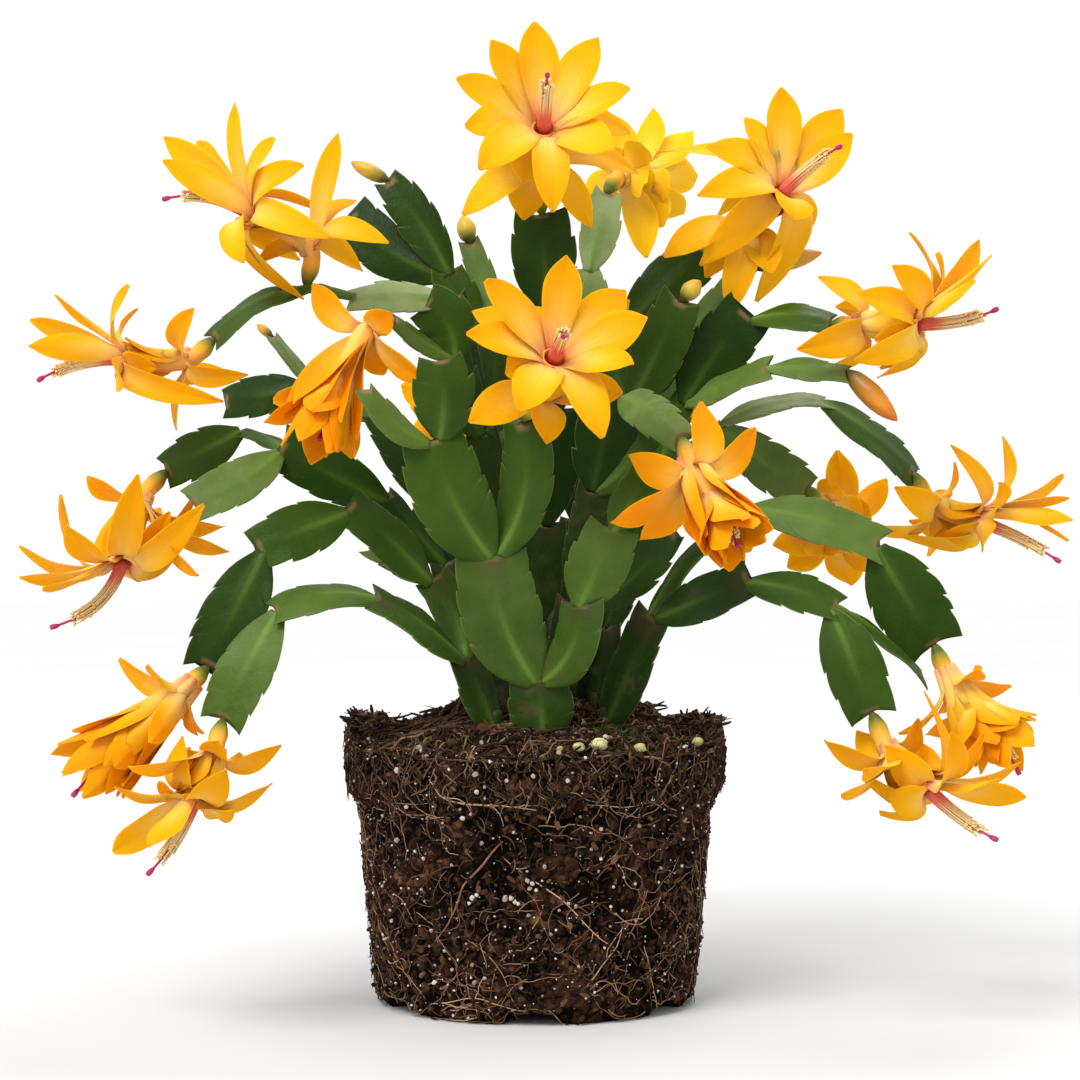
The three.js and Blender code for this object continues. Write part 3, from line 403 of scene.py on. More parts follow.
# Roots on the other sides: [angle round from the front, height] along each.
SIDE_ROOTS = [
    [(-76, 44), (-66, 28), (-46, 8)],
    [(62, 50), (74, 36), (88, 26), (96, 12)],
    [(112, 50), (124, 34), (140, 22), (146, 8)],
    [(-104, 50), (-120, 40), (-150, 18)],
    [(160, 54), (176, 38), (196, 22), (204, 8)],
    [(-130, 30), (-150, 38), (-172, 30), (-190, 14)],
    [(100, 8), (120, 5), (142, 6), (170, 5), (200, 7)],
]
# The largest white chips: [x, z] as seen from the eye, and radius.
MAIN_CHIPS = [
    (-2.4, 38, 1.1), (-0.9, 37, 0.9), (-1.8, 35.4, 1), (0.3, 35, 0.8), (-9.5, 32.3, 1.3), (-7.6, 32.4, 1.1),
    (-6.4, 31.2, 1), (-5.3, 30.6, 0.9), (-20, 32.5, 1.2), (-18.6, 33.4, 0.9), (-21, 30.8, 0.9),
    (-44, 73.3, 1.2), (-19, 72, 1.3), (-18.5, 66.4, 1.2), (-16, 68, 0.9), (-9, 70, 0.9), (10.3, 70, 0.9),
    (12, 72.5, 0.6), (7.6, 79, 1.1), (-0.5, 71.5, 0.9), (-44, 51, 1.2), (-33, 22, 1), (-46, 28.5, 0.8),
    (-2, 26.8, 0.8), (5, 20.8, 0.7), (-23, 58, 1.1), (-20.4, 59.2, 0.7), (21, 54.5, 0.9), (33.2, 55.6, 0.9),
    (37.5, 64, 0.8), (18, 48, 0.7), (25, 36, 0.7), (40, 42, 0.8), (-41, 61.6, 0.9), (-26.6, 43, 0.7),
    (-17, 50, 0.8), (-34.5, 58, 0.6), (3, 42.5, 0.9), (13, 29.8, 0.7), (14, 10.6, 0.8), (-20, 11, 0.8),
    (-26.4, 9.6, 0.9), (-19.2, 5.4, 1), (-16, 6.8, 0.8), (-32, 5.4, 1), (-4.4, 3.6, 0.7), (2.4, 1, 0.7),
    (-40, 35.6, 0.5), (47, 36, 0.5), (14.4, 58.4, 0.6), (-35, 46.6, 0.5), (44, 17, 0.6), (24, 23.4, 0.6),
]
# Yellow-green granules on top: [x, z, depth, radius].
GRANULES = [
    (20.5, 80.9, -52, 2.4), (33.6, 79.8, -46, 1.7), (14, 80, -54, 1.7), (52, 81.8, -26, 1.6),
    (8, 79.4, -56, 1.1)]
# How many small pieces of each kind the root ball gets.
COUNTS = {
    "crumbs": 4600, "peat fibres": 2600, "flakes": 240, "strands": 110, "left strands": 46,
    "rim strands": 170, "top threads": 2380, "lip threads": 1200, "chips": 1500, "top chips": 90,
    "moss": 900, "rim moss": 1100, "fine roots": 330, "roots under the lip": 26, "roots on the lip": 60}
# Pads of moss on top: the middle and the radius of each.
MOSS = [{"at": (27, -34), "radius": 9}, {"at": (-42, -22), "radius": 6}]


# ---- placing ----


# The point that lines up with (x, z) in the plane y = 0, at its depth.
def at(place):
    x, z, depth = place
    away = (depth - EYE.y) / -EYE.y
    return Vector((EYE.x + (x - EYE.x) * away, depth, EYE.z + (z - EYE.z) * away))


def lookup(table, s):
    for (s0, v0), (s1, v1) in zip(table, table[1:]):
        if s <= s1:
            t = max(0, (s - s0) / (s1 - s0))
            return v0 + (v1 - v0) * t
    return table[-1][1]


# The same with a rounded line through the table's points.
def rounded(table, s):
    step = 0.04
    return (lookup(table, s - step) + 2 * lookup(table, s) + lookup(table, s + step)) / 4


def smoothstep(low, high, x):
    t = min(1, max(0, (x - low) / (high - low)))
    return t * t * (3 - 2 * t)


def soil_height(x, y):
    off = ((x - MOUND["at"][0]) ** 2 + (y - MOUND["at"][1]) ** 2) / MOUND["spread"] ** 2
    return BALL_TOP + MOUND["rise"] * math.exp(-off)


def perpendicular(vector, direction):
    return (vector - direction * vector.dot(direction)).normalized()


# Directions spread evenly round a circle in the plane of two others.
def spokes(side, other, count):
    turns = [2 * math.pi * k / count for k in range(count)]
    return [side * math.cos(turn) + other * math.sin(turn) for turn in turns]


# A point by its distance from the axis and its angle round from the front.
def polar(reach, turn, z=0):
    return Vector((reach * math.sin(turn), -reach * math.cos(turn), z))


def outward(point):
    return Vector((point.x, point.y, 0)).normalized()


def any_turn(rng):
    return rng.uniform(-math.pi, math.pi)


def scatter(rng, x=1, y=1, z=1):
    return Vector((rng.gauss(0, x), rng.gauss(0, y), rng.gauss(0, z)))


class Bezier:
    def __init__(self, a, b, c):
        self.a, self.b, self.c = a, b, c

    def point(self, s):
        return self.a * (1 - s) ** 2 + self.b * 2 * s * (1 - s) + self.c * s * s

    def tangent(self, s):
        s = min(0.999, max(0.001, s))
        return ((self.b - self.a) * (1 - s) + (self.c - self.b) * s).normalized()


# A centripetal Catmull-Rom curve through three points.
class Spline:
    def __init__(self, a, b, c):
        self.knots = [a * 2 - b, a, b, c, c * 2 - b]

    def point(self, s):
        first = 0 if s < 0.5 else 1
        t = s * 2 - first
        p0, p1, p2, p3 = self.knots[first:first + 4]
        d0, d1, d2 = math.sqrt((p0 - p1).length), math.sqrt((p1 - p2).length), math.sqrt((p2 - p3).length)
        m1 = ((p1 - p0) / d0 - (p2 - p0) / (d0 + d1) + (p2 - p1) / d1) * d1
        m2 = ((p2 - p1) / d1 - (p3 - p1) / (d1 + d2) + (p3 - p2) / d2) * d1
        c2 = p2 * 3 - p1 * 3 - m1 * 2 - m2
        c3 = p1 * 2 - p2 * 2 + m1 + m2
        return p1 + m1 * t + c2 * t * t + c3 * t * t * t

    def tangent(self, s):
        s = min(0.999, max(0.001, s))
        return (self.point(s + 0.0005) - self.point(s - 0.0005)).normalized()


# The direction that a curve through three points doesn't leave its plane in.
def bend_normal(a, b, c):
    first = (b - a).normalized()
    normal = first.cross((c - b).normalized())
    return normal.normalized() if normal.length > 0.02 else perpendicular(Vector((0.3, 0.2, 1)), first)


# Point, width and normal of a strip along a curve whose width lies along `across`.
def frame_on(curve, s, across):
    tangent = curve.tangent(s)
    normal = across.cross(tangent).normalized()
    return curve.point(s), tangent.cross(normal), normal


# ---- meshes ----

LUMP_ROUGH = 0.3  # how uneven a lump is, as part of its radius


# Collects vertices with named values, and faces, and turns them into an object in metres.
class Shape:
    def __init__(self, *values):
        self.vertices = []
        self.faces = []
        self.values = {name: [] for name in values}

    def vertex(self, point, **values):
        self.vertices.append(point * MM)
        for name, listed in self.values.items():
            listed.append(values.get(name, 0.0))
        return len(self.vertices) - 1

    # Joins rings of vertex numbers into a tube; a lone number closes an end in a point.
    def skin(self, rings):
        for lower, upper in zip(rings, rings[1:]):
            count = max(len(lower), len(upper))
            for i in range(count):
                j = (i + 1) % count
                if len(lower) == 1:
                    self.faces.append((lower[0], upper[j], upper[i]))
                elif len(upper) == 1:
                    self.faces.append((lower[i], lower[j], upper[0]))
                else:
                    self.faces.append((lower[i], lower[j], upper[j], upper[i]))

    def cap(self, ring):
        self.faces.append(tuple(ring))

    # A tube through points, with a radius at each.
    def tube(self, points, radii, sides, **values):
        rings = []
        side = None
        for i, point in enumerate(points):
            ahead = points[min(i + 1, len(points) - 1)]
            behind = points[max(i - 1, 0)]
            along = (ahead - behind).normalized()
            side = perpendicular(side or Vector((0.31, 0.57, 0.76)), along)
            other = along.cross(side)
            s = i / (len(points) - 1)
            around = spokes(side, other, sides)
            rings.append([self.vertex(point + out * radii[i], along=s, **values) for out in around])
        self.skin(rings)
        self.cap(rings[0])
        self.cap(rings[-1])

    # A small lump: an oval of rings round an axis, with rough radii.
    def lump(self, centre, axis, length, radius, sides=7, steps=5, rough=None, **values):
        side = perpendicular(Vector((0.41, -0.32, 0.85)), axis)
        other = axis.cross(side)
        rings = []
        for i in range(steps + 1):
            turn = math.pi * i / steps
            middle = centre - axis * (length * math.cos(turn))
            marks = {"along": i / steps, **values}
            if i in (0, steps):
                rings.append([self.vertex(middle, **marks)])
                continue
            ring = []
            for out in spokes(side, other, sides):
                reach = radius * math.sin(turn)
                if rough:
                    reach *= 1 + rough.uniform(-LUMP_ROUGH, LUMP_ROUGH)
                ring.append(self.vertex(middle + out * reach, **marks))
            rings.append(ring)
        self.skin(rings)

    def build(self, name, material, smooth=True):
        mesh = bpy.data.meshes.new(name)
        mesh.from_pydata(self.vertices, [], self.faces)
        for value, listed in self.values.items():
            mesh.attributes.new(value, "FLOAT", "POINT").data.foreach_set("value", listed)
        work = bmesh.new()
        work.from_mesh(mesh)
        bmesh.ops.recalc_face_normals(work, faces=work.faces)
        for edge in work.edges:
            edge.smooth = edge.calc_face_angle(0) < RIM_ANGLE
        work.to_mesh(mesh)
        work.free()
        mesh.polygons.foreach_set("use_smooth", [smooth] * len(mesh.polygons))
        mesh.materials.append(material)
        piece = bpy.data.objects.new(name, mesh)
        bpy.context.scene.collection.objects.link(piece)
        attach(piece, "root")
        return piece


# A thin blade along a curve. `left` and `right` list [how far along, half width, tooth] down
# each edge, `middle` how far along the midrib lies beside each. `lift` gives the normal offset
# and `half_thick` the half thickness, both at (how far along, sideways -1 to 1).
def blade(shape, curve, across, left, right, middle, lift, half_thick, columns, **values):
    rings = []
    for (sl, wl, tl), (sr, wr, tr), sm in zip(left, right, middle):
        top, bottom = [], []
        for k in range(columns + 1):
            t = 2 * k / columns - 1
            # Closer together beside the edges.
            t = t * (1.5 - 0.5 * t * t)
            edge_s, edge_w, tooth = (sl, wl, tl) if t < 0 else (sr, wr, tr)
            s = sm + (edge_s - sm) * abs(t) ** 1.6
            point, width, normal = frame_on(curve, s, across)
            point = point + width * (t * edge_w) + normal * lift(s, t)
            thick = half_thick(s, abs(t))
            marks = {"along": s, "side": abs(t), "inset": abs(t) * edge_w, **values}
            marks["tooth"] = tooth * abs(t) ** 12
            top.append(shape.vertex(point + normal * thick, **marks))
            if 0 < k < columns:
                bottom.append(shape.vertex(point - normal * thick, **marks))
        rings.append(top + bottom[::-1])
    shape.skin(rings)
    shape.cap(rings[0])
    shape.cap(rings[-1])


# ---- leafy stems ----


# One edge of a segment: smooth from its foot, with small steps where its teeth are, to its horn.
def toothed_edge(rng, half, teeth, points, sharp):
    marks = [0]
    for k in range(teeth):
        marks.append(0.36 + 0.6 * (k + 0.5 * rng.uniform(0, 1)) / teeth)
    marks.append(1.02)
    horn = 0.88 - 0.3 * sharp * rng.uniform(0.6, 1.2)
    edge = []
    for k, (low, high) in enumerate(zip(marks, marks[1:])):
        bite = (0.05 + 0.11 * sharp) * rng.uniform(0.6, 1.3) if k else 0
        spike = (0.01 + 0.035 * sharp) * rng.uniform(0.6, 1.3)
        for i in range(1, points + 1):
            x = i / points
            # Closer together beside the teeth.
            x = x - 0.12 * math.sin(2 * math.pi * x)
            s = low + (high - low) * x
            swell = 0.03 * math.sin(math.pi * x) if k else 0
            envelope = rounded(LEAF_OUTLINE, s)
            if k == teeth:
                envelope = envelope + (horn - LEAF_OUTLINE[-1][1]) * x
            part = envelope + swell - bite * (1 - x) ** 1.6
            tooth = 1 if i == points else 0
            edge.append((s + spike * x ** 6, half * part, tooth))
    return [(0, half * LEAF_OUTLINE[0][1], 0)] + edge


def leaf(shape, name, start, tip, width, roll, bend, shift, age):
    length = (tip - start).length
    along = (tip - start).normalized()
    middle = (start + tip) / 2
    facing = perpendicular(EYE - middle, along)
    facing.rotate(Quaternion(along, math.radians(roll)))
    across = along.cross(facing)
    upper = 1 if 2 * facing.z - facing.y >= 0 else -1
    control = middle + facing * (2 * bend * length * upper) + across * (2 * shift)
    curve = Bezier(start, control, tip)

    rng = random.Random(name)
    half = width / 2 * 0.97
    teeth = 3 if length > 34 else 2
    points = 9
    sharp = rng.uniform(0, 0.3) if age else rng.uniform(0.15, 1)
    left = toothed_edge(rng, half, teeth, points, sharp)
    right = toothed_edge(rng, half, teeth, points, sharp)
    count = len(left)
    middle_line = [0.965 * (i / (count - 1)) for i in range(count)]
    wave, phase, cup = rng.uniform(0.2, 0.7), rng.uniform(0, 6.3), rng.uniform(-0.5, 0.7)

    def lift(s, t):
        ripple = math.sin(9 * s + phase + (2 if t > 0 else 0)) * wave * t * t
        return ripple + cup * t * t * smoothstep(0, 0.3, s)

    def half_thick(s, t):
        rib = math.exp(-((t / 0.2) ** 2)) * (1 - 0.45 * s) * (1 + 0.7 * age)
        body = 0.5 * math.sqrt(max(0, 1 - t ** 2.4)) + 0.16
        ends = smoothstep(-0.05, 0.08, s) * (1 - 0.55 * smoothstep(0.9, 1.02, s))
        foot = 0.55 * (1 - smoothstep(0, 0.2, s))
        flesh = (body * (1 + 0.5 * age) + 0.62 * rib) * (0.55 + 0.45 * ends)
        return flesh + foot * math.sqrt(1 - t * t * 0.8)

    tone = PALENESS_AND_SHEEN.get(name, rng.uniform(0.28, 0.5))
    # Painted shade: segments near the heart of the plant and low down are marked to be darkened.
    reach = math.hypot(middle.x - HEART["at"][0], middle.y - HEART["at"][1])
    shade = smoothstep(HEART["outer"], HEART["inner"], reach)
    shade *= smoothstep(HEART["top"], HEART["top"] - 60, middle.z)
    values = {"tone": tone, "age": age, "shaded": shade}
    blade(shape, curve, across, left, right, middle_line, lift, half_thick, LEAF_COLUMNS, **values)
    return {"tip": tip, "along": along, "across": across, "width": width}


def stem(name, plan):
    x, y = plan["soil"]
    shape = Shape("along", "side", "inset", "tooth", "tone", "age", "shaded")
    ground = Vector((x, y, soil_height(x, y) + 3))
    places = {"soil": {"tip": ground, "along": UP, "across": UP, "width": 0}}
    foot = [ground + UP * (2 - 1.6 * i) for i in range(len(STUB_RADII))]
    woody = {"side": 0.3, "inset": 4, "tone": 0.3, "age": 1, "shaded": 0.5}
    shape.tube(foot[::-1], STUB_RADII, 10, **woody)
    for label, parent, sx, sz, depth, width, roll, bend, shift in plan["segments"]:
        tip = at((sx, sz, depth))
        carrier = places[parent]
        lean = (tip - carrier["tip"]).normalized().dot(carrier["across"])
        start = carrier["tip"] - carrier["along"] * (FIRST_SUNK if parent == "soil" else SEGMENT_SUNK)
        start = start + carrier["across"] * (lean * SHOULDER * carrier["width"])
        age = 1 if parent == "soil" else (0.5 if carrier.get("old") else 0)
        places[label] = leaf(shape, label, start, tip, width, roll, bend, shift, age)
        places[label]["old"] = parent == "soil"
    piece = shape.build(f"leaves_{name}", LEAF)
    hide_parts(f"stem_{name}")
    return places


# ---- blooms ----


# A tepal that leaves its ring along the flower's axis and curls out to its tip.
def tepal(shape, rng, centre, axis, ring, tip, width, look, close=0):
    out = perpendicular(tip - centre, axis)
    root = centre + out * ring
    reach = (root - tip).length
    control = root + axis * ((0.36 + 0.12 * close) * reach) + out * ((0.26 - 0.2 * close) * reach)
    # A petal twists on its foot, and shows some of its face to the front.
    towards = (EYE - centre).normalized()
    facing = look["facing"] * (1 - close)
    face = axis + towards * (facing if axis.dot(towards) > -0.2 else -facing)
    across = face.cross(out).normalized()
    across.rotate(Quaternion((tip - root).normalized(), rng.uniform(-0.3, 0.3) * (1 - close)))
    curve = Bezier(root, control, tip)
    half = width / 2 * rng.uniform(0.9, 1.06)
    stations = 22
    # Closer together towards the tip.
    middle = [1 - (1 - i / stations) ** 1.25 for i in range(stations + 1)]
    edges = []
    for turn in (0, 1):
        wobble = rng.uniform(0, 6.3)
        edge = [
            (s, half * rounded(TEPAL_OUTLINE, s) * (1 + 0.03 * math.sin(8 * s + wobble)), 0)
            for s in middle
        ]
        edges.append(edge)
    cup = rng.uniform(0.9, 1.7) + 1.6 * close
    crease = rng.uniform(0.25, 0.5)
    phase = rng.uniform(0, 6.3)
    twist = rng.uniform(-0.5, 0.5)
    curl = rng.uniform(-0.4, 2)

    # The edges rise towards the inside of the flower, and the tip's edges draw together.
    def lift(s, t):
        hollow = -cup * (t * t - 0.2) * math.sin(math.pi * min(1, s * 0.9 + 0.1))
        ripple = 0.28 * math.sin(10 * s + phase) * t ** 3 + twist * t * s
        crest = crease * math.exp(-((t / 0.16) ** 2)) * s
        return hollow + crest + ripple + curl * smoothstep(0.6, 1.2, s)

    def half_thick(s, t):
        return 0.07 + 0.3 * (1 - s) * (1 - t * t)

    tone = min(1, max(0, look["colour"] + rng.uniform(-0.12, 0.12)))
    blade(shape, curve, across, *edges, middle, lift, half_thick, TEPAL_COLUMNS, tone=tone)


def flower_tube(name, curve, across):
    shape = Shape("along", "inner")
    rings = []
    sides = 18
    stations = 20
    below = curve.point(0) - curve.tangent(0) * FOOT_SUNK
    rings.append([shape.vertex(below, along=0)])
    for i in range(stations + 1):
        s = TUBE_END * i / stations
        point, width, normal = frame_on(curve, s, across)
        ring = []
        for k in range(sides):
            turn = 2 * math.pi * k / sides
            ribbed = 1 + 0.05 * math.cos(5 * turn) * smoothstep(0.5, 0.1, s)
            ribbed += 0.07 * math.cos(6 * turn) * smoothstep(0.4, 0.7, s)
            reach = rounded(TUBE, s) * ribbed
            offset = width * math.cos(turn) + normal * math.sin(turn)
            ring.append(shape.vertex(point + offset * reach, along=s))
        rings.append(ring)
    # Back down the inside of the throat.
    length = (curve.point(1) - curve.point(0.5)).length * 2
    for i in range(5):
        s = TUBE_END - THROAT_DEPTH / length * i / 4
        point, width, normal = frame_on(curve, s, across)
        reach = max(0.6, rounded(TUBE, s) - 0.5) * (1 - 0.08 * i)
        around = spokes(width, normal, sides)
        rings.append([shape.vertex(point + out * reach, along=s, inner=0.3 + 0.7 * i / 4) for out in around])
    shape.skin(rings)
    shape.cap(rings[-1])
    piece = shape.build(f"tube_{name}", TUBE_LOOK)


# The style with its stigma, and the stamens that lie round it.
def pistil(name, throat, axis, tip, pale):
    rng = random.Random(f"pistil {name}")
    root = throat - axis * 3
    bend = throat + axis * (0.5 * (tip - throat).length)
    curve = Bezier(root, bend, tip)
    across = bend_normal(root, bend, tip)
    style = Shape("along", "tone")
    steps = 16
    points = [curve.point(i / steps) for i in range(steps + 1)]
    style.tube(points, [STYLE_RADIUS] * (steps + 1), 7)
    end = curve.tangent(1)
    side = perpendicular(UP + Vector((0.2, 0.4, 0)), end)
    for out in spokes(side, end.cross(side), STIGMA_LOBES):
        style.lump(tip - end * 1.3 + out * 0.4, (end + out * 0.1).normalized(), 1.6, 0.46, along=1)
    piece = style.build(f"style_{name}", STYLE)
    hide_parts(f"pistil_{name}")

    stamens = Shape("along", "tone")
    for k in range(STAMEN_BUNDLE["count"]):
        turn = 2 * math.pi * (k * STAMEN_BUNDLE["apart"])
        spread = 2 * math.sqrt(rng.uniform(0.04, 1))
        reach = rng.uniform(0.52, 0.8)
        steps = 9
        points = []
        for i in range(steps + 1):
            s = reach * i / steps
            point, width, normal = frame_on(curve, s, across)
            out = width * math.cos(turn) + normal * math.sin(turn)
            away = 1.9 + (spread - 1.9) * smoothstep(0.1, 0.7, i / steps)
            points.append(point + out * away)
        stamens.tube(points, [STAMEN_BUNDLE["radius"]] * (steps + 1), 4, tone=pale)
        head = (points[-1] - points[-2]).normalized()
        tilt = (head + out * rng.uniform(0.2, 0.9)).normalized()
        stamens.lump(points[-1], tilt, rng.uniform(0.75, 1), 0.42, sides=6, steps=4, tone=1)
    piece = stamens.build(f"stamens_{name}", STAMEN)


# Tips that fill the widest gaps of a whorl round its axis, until it has `count`.
def filled(rng, centre, axis, given, count, reach, forward):
    side = perpendicular(Vector((0.2, 0.3, 0.93)), axis)
    other = axis.cross(side)
    turns = [math.atan2((tip - centre).dot(other), (tip - centre).dot(side)) for tip in given]
    added = []
    if not turns:
        turns.append(any_turn(rng))
    while len(given) + len(added) < count:
        turns.sort()
        gaps = [((b - a) % (2 * math.pi) or 2 * math.pi, a) for a, b in zip(turns, turns[1:] + turns[:1])]
        gap, start = max(gaps)
        turn = start + gap * rng.uniform(0.44, 0.56)
        turns.append((turn + math.pi) % (2 * math.pi) - math.pi)
        out = side * math.cos(turn) + other * math.sin(turn)
        place = centre + out * (reach * rng.uniform(0.92, 1.06))
        added.append(place + axis * (forward * rng.uniform(0.9, 1.1)))
    return added


# Mean distance of tips from an axis, and mean distance along it.
def spread_of(centre, axis, tips):
    along = [(tip - centre).dot(axis) for tip in tips]
    away = [((tip - centre) - axis * forward).length for tip, forward in zip(tips, along)]
    return sum(away) / len(tips), sum(along) / len(tips)


def bloom(name, foot, waist, throat, tip, inner, mid, outer):
    rng = random.Random(f"bloom {name}")
    start = foot + (waist - foot).normalized() * SLANT_GAP
    curve = Spline(start, waist, throat)
    axis = curve.tangent(0.999)
    waist_axis = curve.tangent(0.5)
    across = bend_normal(start, waist, throat)
    shape = Shape("along", "side", "tone")
    look = {"colour": DEPTH_OF_COLOUR.get(name, 0.5), "facing": FACING.get(name, 0.35)}
    closed = name in HALF_CLOSED
    swept = SWEPT_BACK.get(name, 0)
    wide = TEPAL_WIDTH * SLENDER.get(name, 1)
    reach, forward = spread_of(throat, axis, inner)
    bent = forward * (1 - swept) - reach * 0.6 * swept
    inner = inner + filled(rng, throat, axis, inner, 8, reach * (0.94 - 0.36 * swept), bent)
    if closed:
        # Two more petals hide the style from the front.
        front = perpendicular(EYE - throat, axis)
        aside = axis.cross(front)
        length = max((place - throat).dot(axis) for place in inner)
        inner = inner + [throat + axis * length + front * 8 + aside * side for side in (-5, 4)]
    for k, place in enumerate(inner):
        centre = throat - axis * (3.4 + 0.8 * (k % 2))
        tepal(shape, rng, centre, axis, 3.1, place, wide, look, 0.6 if closed else 0)
    # Petals that lie along the tube and only spread past it. On a closed bloom they make the bell.
    from_foot = 0.3 if closed else 0.42
    low, low_axis = curve.point(from_foot), curve.tangent(from_foot)
    lying = (7, reach * 0.9, forward * 0.86) if closed else (6, 6.2, -3)
    for place in filled(rng, throat, axis, [], *lying):
        tepal(shape, rng, low, low_axis, 3.2, place, wide * 0.94, look, 1)
    heart = throat - axis * 6
    if mid:
        reach, forward = spread_of(heart, axis, mid)
    bent = forward * 0.8 * (1 - swept) - reach * 0.7 * swept
    more = 0 if closed else len(inner) + 5
    mid = mid + filled(rng, heart, axis, inner + mid, more, reach * (0.7 - 0.2 * swept), bent)
    for place in mid:
        tepal(shape, rng, heart, axis, 3, place, wide, look)
    reach, forward = spread_of(waist, waist_axis, outer)
    outer = outer + filled(rng, waist, waist_axis, outer, 5, reach * 0.66, forward)
    for place in outer:
        tepal(shape, rng, waist, waist_axis, 2.4, place, wide * 0.94, look)
    piece = shape.build(f"tepals_{name}", TEPAL)
    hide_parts(f"bloom_{name}")
    flower_tube(name, curve, across)
    pistil(name, throat, axis, tip, 0.6 * swept)


def star(name, foot, plan):
    axis = Vector(plan["towards"]).normalized()
    side = perpendicular(UP, axis)
    waist = foot + axis * STAR["waist"]
    throat = waist + axis * STAR["throat"]

    def whorl(centre, count, reach, forward, turn):
        tips = []
        for i in range(count):
            out = side.copy()
            out.rotate(Quaternion(axis, turn + i / count * 2 * math.pi))
            tips.append(centre + out * reach + axis * forward)
        return tips

    turn = plan["turn"]
    inner = whorl(throat, 5, STAR["reach"], 7, turn)
    mid = whorl(throat, 5, 0.92 * STAR["reach"], -1, turn + math.pi / 5)
    outer = whorl(waist, 4, 0.85 * STAR["reach"], -7, turn)
    bloom(name, foot, waist, throat, throat + axis * STAR["style"], inner, mid, outer)


def bud(name, carrier, plan):
    foot = carrier["tip"] + carrier["across"] * (plan["side"] * carrier["width"])
    tip = at(plan["tip"])
    direction = (tip - foot).normalized()
    foot = foot + direction * SLANT_GAP
    side = perpendicular(Vector((0.3, 1, 0.2)), direction)
    other = direction.cross(side)
    length = (tip - foot).length
    shape = Shape("along", "side", "tone")
    stations, sides = 26, 30
    ripe = plan["ripe"]
    rings = [[shape.vertex(foot - direction * FOOT_SUNK, along=0, tone=ripe)]]
    for i in range(1, stations):
        s = i / stations
        swell = rounded(BUD_PROFILE, s) * plan["radius"]
        ring = []
        for k in range(sides):
            turn = 2 * math.pi * k / sides
            # Closed tepals wind round the bud and overlap.
            seam = ((turn + 2.2 * s) * 5 / (2 * math.pi)) % 1
            ridge = 1 + 0.1 * (seam - 0.5) * smoothstep(0.25, 0.5, s)
            offset = side * math.cos(turn) + other * math.sin(turn)
            point = foot + direction * (length * s) + offset * (swell * ridge)
            ring.append(shape.vertex(point, along=s, side=seam, tone=ripe))
        rings.append(ring)
    rings.append([shape.vertex(tip, along=1, tone=ripe)])
    shape.skin(rings)
    piece = shape.build(f"closed_bud_{name}", BUD_LOOK)
    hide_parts(f"bud_{name}")


# ---- root ball ----


def ball_radius(z):
    return lookup(BALL_SIDE, z)


# Height of the rim: worn low at the front, lower at the back than at the sides, ragged all round.
def rim_height(turn):
    off = abs(wrapped(turn))
    worn = 9 * smoothstep(1.5, 1.1, off) + 4 * smoothstep(1.75, 2.3, off)
    ragged = 1.7 * noise.noise(Vector((math.sin(turn) * 4, math.cos(turn) * 4, 7.7)))
    nicks = 0.9 * noise.noise(Vector((math.sin(turn) * 19, math.cos(turn) * 19, 3.1)))
    return BALL_TOP + 2 - worn + ragged + nicks


def wrapped(turn):
    return (turn + math.pi) % (2 * math.pi) - math.pi


def crumble(point, size, seed):
    return noise.fractal(point / size + Vector((seed, 0, 0)), 0.9, 2.1, 5)


# Crumbs that stand proud, with cracks between them, about -1 to 1.
def crumbs_relief(point, size, seed):
    warped = point / size + noise.noise_vector(point / (size * 0.7)) * 0.35 + Vector((seed, seed, 0))
    near, next_near = noise.voronoi(warped)[0][:2]
    return min(1, (next_near - near) * 2.2) - 0.5 * near - 0.2


def side_relief(surface):
    coarse = crumble(surface, 16, 1)
    lumps = crumbs_relief(surface, 5.2, 2)
    grains = crumbs_relief(surface, 2.3, 6)
    return 0.75 * coarse + 0.75 * lumps + 0.45 * grains - 0.35


def top_height(radius, turn):
    x, y = radius * math.sin(turn), -radius * math.cos(turn)
    inside = smoothstep(60, 46, radius)
    heaped = sum(
        rise * math.exp(-(((x - at_x) ** 2 + (y - at_y) ** 2) / spread ** 2))
        for at_x, at_y, rise, spread in HEAPS
    )
    base = rim_height(turn) * (1 - inside) + (soil_height(x, y) - 0.6) * inside + heaped
    dip = 2.2 * math.exp(-(((radius - 47) / 6) ** 2)) * smoothstep(0.5, 1.4, abs(wrapped(turn)))
    rough = 2.1 * crumble(Vector((x, y, 0)), 8, 3) + 1.5 * crumbs_relief(Vector((x, y, 0)), 5, 9)
    return base - dip + rough * smoothstep(62, 50, radius)


# Height of the top at a point, and a place on it, raised a little.
def top_at(x, y):
    return top_height(math.hypot(x, y), math.atan2(x, -y))


def on_top(reach, turn, lift=0):
    return polar(reach, turn, top_height(reach, turn) + lift)


def ball_point(turn, z):
    return polar(1, turn) * ball_radius(z) + UP * z


